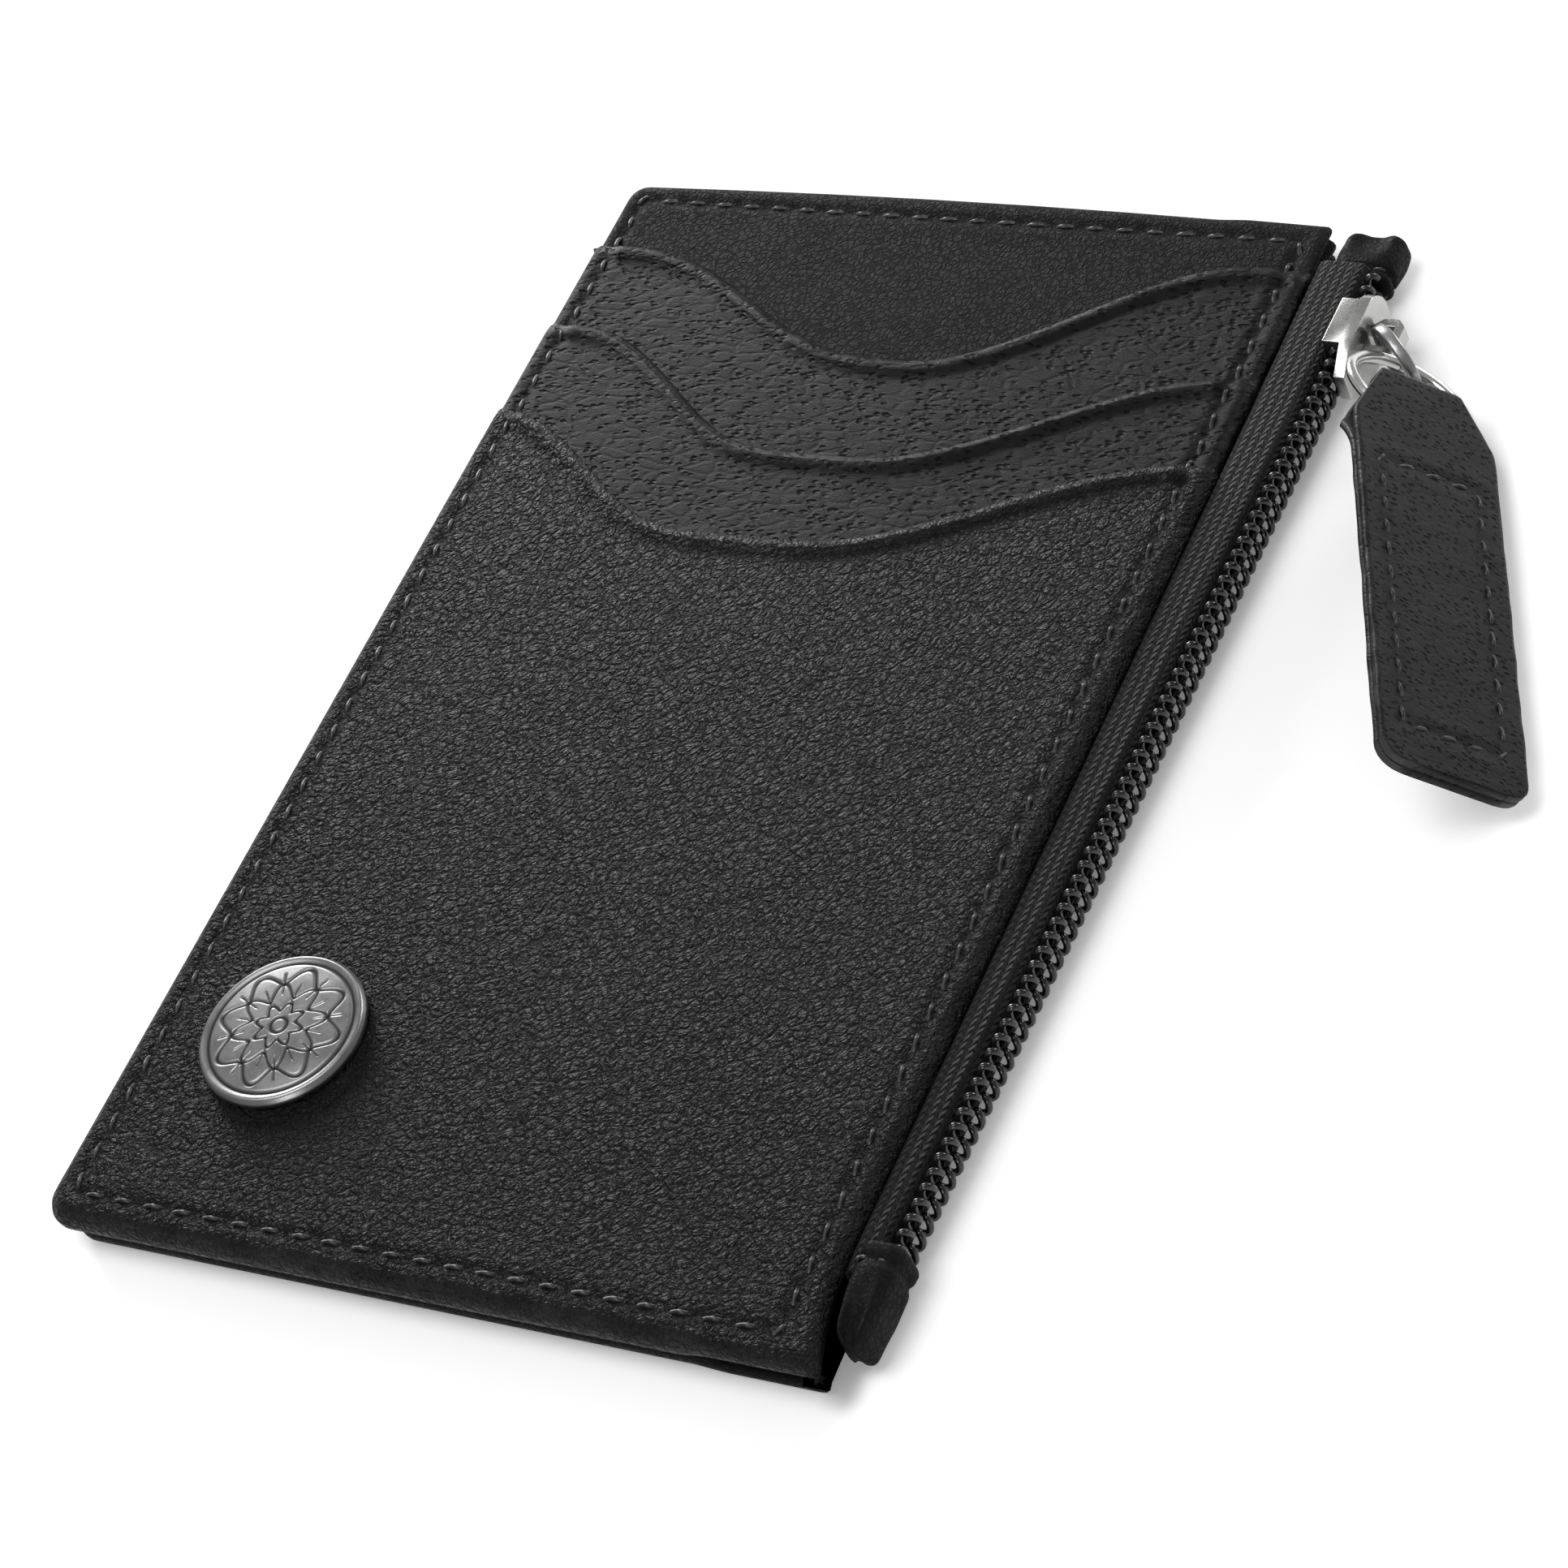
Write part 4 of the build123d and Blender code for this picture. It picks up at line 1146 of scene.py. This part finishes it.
wire_round = step(coil_tree, "GeometryNodeCurvePrimitiveCircle", {
    "Resolution": 7, "Radius": maths(coil_tree, "MULTIPLY", entry["Wire"], 0.5)})[0]
wound = step(coil_tree, "GeometryNodeCurveToMesh", {
    "Curve": spring, "Profile Curve": wire_round, "Fill Caps": True, "Scale": swell})[0]
wound = step(coil_tree, "GeometryNodeRealizeInstances", {"Geometry": wound})[0]
wound = step(coil_tree, "GeometryNodeSetMaterial", {"Geometry": wound, "Material": entry["Finish"]})[0]
feed(coil_tree, result[0], wound)
print("coil tree:", len(coil_tree.nodes), "nodes")

# %% Both halves of the chain
coil_pitch = 1.43
coil_wire = 0.62
meshing = 0.34


def coil_half(name, side, shift, *nodes):
    """One half of the chain; side is 1 for the card side."""
    length = zip_high - zip_low - coil_pitch
    made = grown(name, seam([(0, 0, 0), (0, 0, 1)], False), coil_tree, Turns=float(length / coil_pitch),
                 Length=float(length) * mm, Depth=float(coil_depth - coil_wire) * mm,
                 Width=float(coil_width + meshing - coil_wire) * mm, Wire=coil_wire * mm, Finish=nylon)
    across = Vector((0, 0, side))
    middle = Vector((chain_face(zip_low), zip_low, chain_z)) * mm
    middle += chain_along * shift * mm - chain_outward * coil_depth / 2 * mm
    middle += across * (chain_gap / 2 + (coil_width - meshing) / 2) * mm
    turn = Matrix((chain_outward, across, chain_along)).transposed().to_4x4()
    made.data.transform(Matrix.Translation(middle) @ turn)
    outward(made)
    return hand_over(made, "purse", "zip_coil", *nodes)


coil_half("front_coil", 1, 0.3, "front_zip_coil")
coil_half("rear_coil", -1, 0.3 + coil_pitch / 2, "rear_zip_coil")

# %% Knitted tapes
tape_thickness = 0.42
tape_columns = 40


def rounded_path(corners, rounds=3):
    """Cuts the corners of an open path until it runs smoothly."""
    path = np.array(corners, float)
    for _ in range(rounds):
        cut = [path[0]]
        for start, end in zip(path, path[1:]):
            cut += [start + (end - start) * 0.25, start + (end - start) * 0.75]
        path = np.array(cut + [path[-1]])
    return path


def tape(name, side, node_name):
    """A knitted strip: flat in the seam, up beside the panel, out, and down behind the coil."""
    tape_inner = box(node_name)[0][0]
    seam_z = zip_side_low - 0.24 if side > 0 else rear_high[2] + 0.24
    shelf_z = chain_z + side * (chain_gap / 2 + coil_width - tape_thickness / 2)
    rows = np.arange(zip_low, zip_high, 0.55)
    points, weave = [], []
    for row, y in enumerate(rows):
        out = panel_side(y) + 0.3
        back = chain_face(y) - coil_depth - tape_thickness / 2
        ripple = 0.10 * noise.noise(Vector((0.0, y / 5.0, 4.0 * side)))
        path = rounded_path([(tape_inner, seam_z), (out - 0.5, seam_z), (out, seam_z + side * 0.2),
                             (out, shelf_z - side * 0.4), (out + 0.5, shelf_z + ripple),
                             (back - 0.8, shelf_z - side * 0.05 + ripple), (back, shelf_z - side * 0.15),
                             (back, chain_z + side * chain_gap * 0.55)])
        path = evenly(path, np.hypot(*np.diff(path, axis=0).T).sum() / (tape_columns - 1), closed=False)
        across = np.concatenate([[0], np.cumsum(np.hypot(*np.diff(path, axis=0).T))])
        for (x, z), far in zip(path, across):
            points.append((x, y, z))
            weave.append((y, far))
    count = tape_columns
    faces = []
    for i in range(len(rows) - 1):
        for j in range(count - 1):
            corner = i * count + j
            face = (corner, corner + 1, corner + count + 1, corner + count)
            faces.append(face if side < 0 else tuple(reversed(face)))
    made = place(name, points, faces, knitted)
    layer = made.data.uv_layers.new(name="weave")
    layer.data.foreach_set("uv", np.array([weave[loop.vertex_index] for loop in made.data.loops]).ravel())
    solid = made.modifiers.new("tape thickness", "SOLIDIFY")
    solid.thickness = tape_thickness * mm
    solid.offset = 0
    return hand_over(made, "purse", "zip_tape", node_name)


tape("front_tape", 1, "front_zip_tape")
tape("rear_tape", -1, "rear_zip_tape")

# %% [markdown]
# ## End caps and gussets
# A scrap of leather is folded over each end of the chain and sewn. It is soft, so it
# swells beyond the seam into two lobes with a valley between. Each cap is a row of
# rounded-square sections along the chain, whose size and valley follow short formulas.
# The gusset is the lining folded in a narrow U between the two panels.

# %% End caps
def end_cap(name, node_name, mouth_first, low, high):
    """A soft folded cap between two corners; mouth_first says that its mouth is at its low end."""
    spokes, stations = 56, 44
    points, wear_and_highlight = [], []
    middle_z = (low[2] + high[2]) / 2
    half_z = (high[2] - low[2]) / 2
    for station in range(stations + 1):
        share = station / stations
        y = low[1] + share * (high[1] - low[1]) if mouth_first else high[1] - share * (high[1] - low[1])
        inner, outer = panel_side(y) + 0.9, chain_face(y) + high[0]
        half_x = (outer - inner) / 2
        mouth = math.sqrt(max(1 - (1 - min(share / 0.05, 1)) ** 2, 0))
        end = max(1 - (max(share - 0.82, 0) / 0.18) ** 3, 0) ** (1 / 2.6)
        pinch = 1 - 0.12 * float(bump_at(share - 0.19, 0.05)) + 0.05 * float(bump_at(share - 0.55, 0.25))
        size = (0.72 + 0.28 * mouth) * end * pinch
        valley = 0.34 * float(smooth(share, 0.25, 0.9))
        for spoke in range(spokes):
            angle = 2 * math.pi * spoke / spokes
            c, s = math.cos(angle), math.sin(angle)
            squareness = (abs(c) ** 3.2 + abs(s) ** 3.2) ** (-1 / 3.2)
            dent = 1 - valley * float(bump_at(abs(s) - 1, 0.12)) * (1 if abs(c) < 0.6 else 0)
            lump = 1 + 0.03 * noise.noise(Vector((c * 2.0, s * 2.0, y / 2.0)))
            points.append((inner + half_x + half_x * size * squareness * c * lump, y,
                           middle_z + half_z * size * squareness * s * dent * lump))
            # painted highlight, partly abrasion: the cap's mouth and middle are marked paler
            wear_and_highlight.append(0.5 * float(bump_at(share - 0.03, 0.05))
                          + 0.25 * float(bump_at(share - 0.6, 0.2)))
    faces = []
    for i in range(stations):
        for j in range(spokes):
            a, b = i * spokes + j, i * spokes + (j + 1) % spokes
            faces.append((a, b, b + spokes, a + spokes))
    faces.append(tuple(range(spokes)))
    faces.append(tuple(stations * spokes + j for j in reversed(range(spokes))))
    made = place(name, points, faces, shell_leather)
    mark_wear_and_highlight(made, wear_and_highlight)
    outward(made)
    return hand_over(made, "purse", "trim_leather", node_name)


bottom_low, bottom_high = box("bottom_end_cap")
top_low, top_high = box("top_end_cap")
cap_proud = 0.55
top_mouth = zip_high - 0.9
top_sink = 1.3
end_cap("bottom_cap", "bottom_end_cap", False, (0, bottom_low[1], bottom_low[2]),
        (cap_proud, bottom_high[1], bottom_high[2]))
end_cap("top_cap", "top_end_cap", True, (0, top_mouth, top_low[2]),
        (0.3, top_high[1], top_high[2] - top_sink))

# %% Cap stitches
def cap_seam(y, level):
    """A short seam across a cap."""
    return [(panel_side(y) + 1.5, y, level), (chain_face(y) - 0.9, y, level)]


cap_runs = [grown("cap_run", seam(cap_seam(y, level), False), stitches, Pitch=1.5 * mm,
                  Stitch_length=1.25 * mm, Thread=0.4 * mm, Seed=seed, Finish=thread)
            for y, level, seed in ((zip_low + 1.3, bottom_high[2] - 0.42, 5),
                                   (top_mouth + 1.0, top_high[2] - top_sink - 0.35, 6))]
with bpy.context.temp_override(active_object=cap_runs[0], selected_editable_objects=cap_runs):
    bpy.ops.object.join()
cap_runs[0].name = "cap_stitches"
hand_over(cap_runs[0], "purse", "thread", "end_cap_stitching")

# %% Gussets
def gusset(name, node_name):
    """Lining folded in a U, its fold facing the zip side."""
    low, high = box(node_name)
    middle_z, half_z = (low[2] + high[2]) / 2, (high[2] - low[2]) / 2 - 0.2
    rows = np.linspace(low[1] + 0.5, high[1] - 0.5, 22)
    points = []
    count = 25
    for y in rows:
        nose = panel_side(y) - 0.9
        tuck = 0.35 * noise.noise(Vector((y / 2.5, 1.0, 7.0)))
        for step_at in range(count):
            share = step_at / (count - 1)
            if share < 0.35:
                x, z = low[0] + (nose - half_z - low[0]) * share / 0.35, -half_z
            elif share > 0.65:
                x, z = low[0] + (nose - half_z - low[0]) * (1 - share) / 0.35, half_z
            else:
                turn = (share - 0.35) / 0.3 * math.pi
                x, z = nose - half_z + (half_z + tuck) * math.sin(turn), -half_z * math.cos(turn)
            points.append((x, y, middle_z + z))
    faces = [(i * count + j, i * count + j + 1, (i + 1) * count + j + 1, (i + 1) * count + j)
             for i in range(len(rows) - 1) for j in range(count - 1)]
    made = place(name, points, faces, shell_leather)
    made.data.attributes.new("wear_and_highlight", "FLOAT", "POINT")
    solid = made.modifiers.new("gusset thickness", "SOLIDIFY")
    solid.thickness = 0.35 * mm
    solid.offset = 0
    return hand_over(made, "purse", "lining", node_name)


gusset("top_fold", "top_gusset")
gusset("bottom_fold", "bottom_gusset")

# %% [markdown]
# ## Slider and puller
# The CAD shapes are right but their edges are knife sharp, and cast metal never is. A
# merged copy of each CAD node gets a Bevel modifier on its sharp edges only. That keeps
# the CAD's sizes and gives every edge the thin highlight that makes metal read as metal.

# %% Softened castings
def casting(node_name, name, edge_radius, material, body, slot_name):
    """A merged copy of a CAD node with its edges rounded."""
    shape = bmesh.new()
    shape.from_mesh(cad[node_name].data)
    bmesh.ops.remove_doubles(shape, verts=shape.verts, dist=1e-6)
    bmesh.ops.dissolve_limit(shape, angle_limit=math.radians(0.8), verts=shape.verts, edges=shape.edges)
    mesh = bpy.data.meshes.new(name)
    shape.to_mesh(mesh)
    shape.free()
    mesh.shade_smooth()
    mesh.materials.clear()
    mesh.materials.append(material)
    made = bpy.data.objects.new(name, mesh)
    bpy.context.scene.collection.objects.link(made)
    rounding = made.modifiers.new("cast edges", "BEVEL")
    rounding.width = edge_radius * mm
    rounding.segments = 3
    rounding.limit_method = "ANGLE"
    rounding.angle_limit = math.radians(40)
    rounding.harden_normals = True
    return hand_over(made, body, slot_name, node_name)


casting("slider_body", "slider", 0.16, slider_metal, "slider", "slider_metal")
casting("slider_crown", "crown", 0.26, slider_metal, "slider", "slider_metal")
casting("zip_puller", "puller", 0.2, puller_metal, "puller", "slider_metal")

# %% [markdown]
# ## Pull ring
# A turn of round wire, closed end to end, with the hairline gap that every bent ring has.
# Its centre, axis and thickness are measured from the CAD ring's points: the axis is the
# direction in which the points spread least.

# %% Directions of a flat piece
def spread(points):
    """Middle of some points and their three main directions, widest first."""
    middle = points.mean(0)
    directions = np.linalg.svd(points - middle, full_matrices=False)[2]
    return middle, directions


def node_points(node_name):
    """All corner points of a CAD node, in millimetres, doubles merged."""
    shape = bmesh.new()
    shape.from_mesh(cad[node_name].data)
    bmesh.ops.remove_doubles(shape, verts=shape.verts, dist=1e-6)
    points = np.array([point.co.to_tuple() for point in shape.verts]) / mm
    shape.free()
    return points


# %% The ring
clear_share = 0.95  # drawn a hair thinner, so that it clears the crown at the end of its swing


def pull_ring():
    points = node_points("pull_ring")
    middle, (first, second, axis) = spread(points)
    middle = (points @ np.array([first, second, axis]).T)
    middle = np.array([first, second, axis]).T @ ((middle.min(0) + middle.max(0)) / 2)
    away = points - middle
    flat = np.linalg.norm(away - np.outer(away @ axis, axis), axis=1)
    wire = clear_share * (flat.max() - flat.min()) / 2
    radius = (flat.max() + flat.min()) / 2
    gap_at = math.pi * 0.15
    gap = 0.06 / radius
    turns, around = 112, 16
    ring_points = []
    for turn in np.linspace(gap_at + gap, gap_at + 2 * math.pi - gap, turns):
        spoke = math.cos(turn) * first + math.sin(turn) * second
        for angle in np.arange(around) * 2 * math.pi / around:
            outward_reach = spoke * (radius + wire * math.cos(angle))
            ring_points.append(middle + outward_reach + axis * wire * math.sin(angle))
    faces = [(i * around + j, i * around + (j + 1) % around, (i + 1) * around + (j + 1) % around,
              (i + 1) * around + j) for i in range(turns - 1) for j in range(around)]
    faces.append(tuple(range(around)))
    faces.append(tuple((turns - 1) * around + j for j in reversed(range(around))))
    made = place("ring", ring_points, faces, ring_metal)
    outward(made)
    print("ring radius", round(float(radius), 2), "wire", round(float(2 * wire), 2))
    return made


hand_over(pull_ring(), "ring", "ring_metal", "pull_ring")

# %% [markdown]
# ## Pull tab
# One strip of split leather folded over the ring and sewn to itself. It is made as it is
# cut: a ribbon that runs up the face, round the fold and down the back, narrow at the
# fold, with rounded bottom corners and a section whose cut edges are barely rounded. The
# two leaves stay apart by the hairline that layered leather shows at its edge. The
# stitches press a groove into the face.

# %% The tab's own directions, from its stitching
stitch_cloud = node_points("tab_stitching")
tab_middle, (tab_down, tab_across, tab_out) = spread(stitch_cloud)
tab_down = tab_down if tab_down[1] < 0 else -tab_down
tab_out = tab_out if tab_out[2] > 0 else -tab_out
tab_up = -tab_down
tab_across = np.cross(tab_up, tab_out)
in_tab = np.array([tab_across, tab_up, tab_out])
stitch_box = (stitch_cloud - tab_middle) @ in_tab.T
leather_cloud = (node_points("tab_leather") - tab_middle) @ in_tab.T
face_out = stitch_box[:, 2].min()
tab_stitch_half = float(np.ptp(stitch_box[:, 0])) / 2 - 0.25
tab_stitch_rise = float(np.ptp(stitch_box[:, 1])) / 2 - 0.25
tab_low, tab_high = leather_cloud.min(0), leather_cloud.max(0)
tab_half = (tab_high[0] - tab_low[0]) / 2
at_fold = leather_cloud[leather_cloud[:, 1] > tab_high[1] - 0.1]
fold_half = float(np.ptp(at_fold[:, 0])) / 2
print("tab", round(float(tab_high[1] - tab_low[1]), 1), "mm long,", round(2 * float(tab_half), 1), "wide,",
      round(2 * fold_half, 1), "at the fold")

# %% The folded strip
leaf_thick = 0.8
slant_length = 6.0
tab_corner = 2.0
loop_depth = -(tab_low[2] - face_out) - 2 * leaf_thick
loop_open = 3.6


def strip_path():
    """The middle of the strip as (up, out), from the face's foot over the fold to the back's."""
    top, foot = tab_high[1] - leaf_thick / 2, tab_low[1]
    front = face_out - leaf_thick / 2
    sewn = front - leaf_thick - 0.04
    back = sewn - loop_depth
    corners = [(foot, front), (foot + 4, front), (top - 2.4, front), (top, front), (top, front),
               (top, (front + back) / 2), (top, back), (top - 0.4, back), (top - loop_open, back),
               (top - loop_open - 4.4, sewn), (top - loop_open - 8, sewn), (foot + 4, sewn), (foot, sewn)]
    return evenly(rounded_path(corners, 3), 0.5, closed=False)


def strip_half_width(up):
    """Half the strip's width at a height."""
    narrow = np.clip((up - (tab_high[1] - slant_length)) / slant_length, 0, 1)
    half = tab_half + (fold_half - tab_half) * narrow
    from_foot = max(up - tab_low[1], 0)
    if from_foot < tab_corner:
        half -= tab_corner - math.sqrt(tab_corner ** 2 - (tab_corner - from_foot) ** 2)
    return half


def folded_tab():
    path = strip_path()
    foot = tab_low[1]
    ends = np.array([0.0, 0.1, 0.3, 0.6, 1.0, 1.5, 2.0])
    first = np.column_stack([foot + ends, np.full(len(ends), path[0][1])])
    last = np.column_stack([foot + ends[::-1], np.full(len(ends), path[-1][1])])
    path = np.vstack([first, path[5:-5], last])
    heading = np.gradient(path, axis=0)
    heading /= np.linalg.norm(heading, axis=1)[:, None]
    normal = np.column_stack([-heading[:, 1], heading[:, 0]])
    across = np.concatenate([[-1, -0.985, -0.95], np.linspace(-0.88, 0.88, 27), [0.95, 0.985, 1]])
    edge_drop = np.interp(1 - np.abs(across), [0, 0.015, 0.05, 0.12], [0.2, 0.09, 0.03, 0.0])
    outline = np.array([(tab_stitch_half, tab_stitch_rise), (-tab_stitch_half, tab_stitch_rise),
                        (-tab_stitch_half, -tab_stitch_rise), (tab_stitch_half, -tab_stitch_rise)])
    count = len(across)
    points, wear_and_highlight_mask = [], []
    for number, ((up, out), (normal_up, normal_out)) in enumerate(zip(path, normal)):
        face_side = number < len(path) / 2
        half = strip_half_width(up) - (0 if face_side else 0.12)
        half += 0.09 * noise.noise(Vector((up / 2.2, 3.0 if face_side else 9.0, 0.5)))
        spots = np.column_stack([across * half, np.full(count, up)])
        groove = stitch_groove(spots, outline, 0.13) if face_side else np.zeros(count)
        soft = 0.06 * waviness(spots, 3.5, 6.0 if face_side else 12.0)
        for side, ordered in ((1, range(count)), (-1, reversed(range(count)))):
            for index in ordered:
                lift = leaf_thick / 2 - edge_drop[index] + (groove[index] if side > 0 else 0)
                lift = side * lift + (soft[index] if side > 0 else 0)
                points.append((spots[index][0], up + normal_up * lift, out + normal_out * lift))
                # painted highlight, partly abrasion: the strip's cut edges are marked paler
                wear_and_highlight_mask.append(0.9 * float(bump_at(1 - abs(across[index]), 0.03)))
    ring = 2 * count
    faces = [(i * ring + j, i * ring + (j + 1) % ring, (i + 1) * ring + (j + 1) % ring, (i + 1) * ring + j)
             for i in range(len(path) - 1) for j in range(ring)]
    faces.append(tuple(range(ring)))
    faces.append(tuple((len(path) - 1) * ring + j for j in reversed(range(ring))))
    placed = np.array(points) @ in_tab + tab_middle
    made = place("pull_tab", placed, faces, tab_finish)
    mark_wear_and_highlight(made, wear_and_highlight_mask)
    outward(made)
    return made


hand_over(folded_tab(), "tab", "trim_leather", "tab_leather")

# %% Tab stitches, grown flat and then laid on the tab
tab_outline = np.array([(-tab_stitch_half, tab_stitch_rise), (tab_stitch_half, tab_stitch_rise),
                        (tab_stitch_half, -tab_stitch_rise), (-tab_stitch_half, -tab_stitch_rise)])
flat_seam = evenly(tab_outline, 0.8)
tab_stitches = grown("tab_stitches", seam(np.column_stack([flat_seam, np.full(len(flat_seam), -0.12)]), True),
                     stitches, Pitch=2.55 * mm, Stitch_length=1.9 * mm, Thread=0.42 * mm, Seed=11,
                     Finish=thread)
lay = Matrix([list(row) for row in in_tab]).transposed().to_4x4()
lay_at = Vector(tab_middle + tab_out * face_out) * mm
tab_stitches.data.transform(Matrix.Translation(lay_at) @ lay)
hand_over(tab_stitches, "tab", "thread", "tab_stitching")

# %% [markdown]
# ## Floor, light and camera
# A pale sheet under the purse catches a soft shadow. Black leather shows little but what it
# reflects, so the main light is high and away from the mirror direction, and low soft
# lights behind and in front draw the glints along mouths, edges, coil and ring.

# %% Floor
def floor_sheet():
    finish, tree, shader, place_on = new_finish("pale_paper")
    mottle = speckle(tree, place_on, 40.0, 3.0)[0]
    feed(tree, shader.inputs["Base Color"], two_colours(tree, mottle, (0.9, 0.9, 0.9), (0.93, 0.93, 0.93)))
    shader.inputs["Roughness"].default_value = 0.9
    shader.inputs["Specular IOR Level"].default_value = 0.1
    shader.inputs["Emission Color"].default_value = (1, 1, 1, 1)
    shader.inputs["Emission Strength"].default_value = 0.15
    half = 1500.0
    under = -0.02
    corners = [(-half, -half, under), (half, -half, under), (half, half, under), (-half, half, under)]
    return place("floor_sheet", corners, [(0, 1, 2, 3)], finish)


floor_sheet()


# %% Lights
def soft_light(name, position, size, power):
    """A square area light that faces the purse."""
    lamp = bpy.data.lights.new(name, "AREA")
    lamp.shape = "SQUARE"
    lamp.size = size
    lamp.energy = power
    made = bpy.data.objects.new(name, lamp)
    bpy.context.scene.collection.objects.link(made)
    made.location = position
    made.rotation_euler = (-Vector(position)).to_track_quat("-Z", "Y").to_euler()
    return made


soft_light("key_light", (-0.66, 0.64, 0.24), 0.34, 6.0)
soft_light("top_light", (-0.15, -0.2, 0.96), 0.55, 5.5)
soft_light("edge_light", (0.3, 0.85, 0.28), 0.35, 3.0)
soft_light("front_light", (0.25, -0.9, 0.3), 0.3, 2.0)
surround = bpy.data.worlds.new("bright_surround")
surround.use_nodes = True
surround.node_tree.nodes["Background"].inputs["Color"].default_value = (1, 1, 1, 1)
surround.node_tree.nodes["Background"].inputs["Strength"].default_value = 0.4
bpy.context.scene.world = surround
bpy.context.scene.view_settings.view_transform = "Standard"

# %% Camera
look_at = Vector((8.02, -3.90, 0.0)) * mm
camera_away = 407.80 * mm
camera_heading = math.radians(-44.0777)
camera_rise = math.radians(45.3890)
camera_roll = math.radians(-28.7305)
toward = Vector((math.cos(camera_rise) * math.cos(camera_heading),
                 math.cos(camera_rise) * math.sin(camera_heading), math.sin(camera_rise)))
camera_data = bpy.data.cameras.new("camera")
camera_data.lens = 110.883
camera_data.clip_start = 0.01
camera = bpy.data.objects.new("camera", camera_data)
bpy.context.scene.collection.objects.link(camera)
level_turn = toward.to_track_quat("Z", "Y").to_matrix().to_4x4()
camera.matrix_world = (Matrix.Translation(look_at + toward * camera_away) @ level_turn
                       @ Matrix.Rotation(camera_roll, 4, "Z"))
bpy.context.scene.camera = camera
print("camera at", [round(value / mm, 1) for value in camera.location])
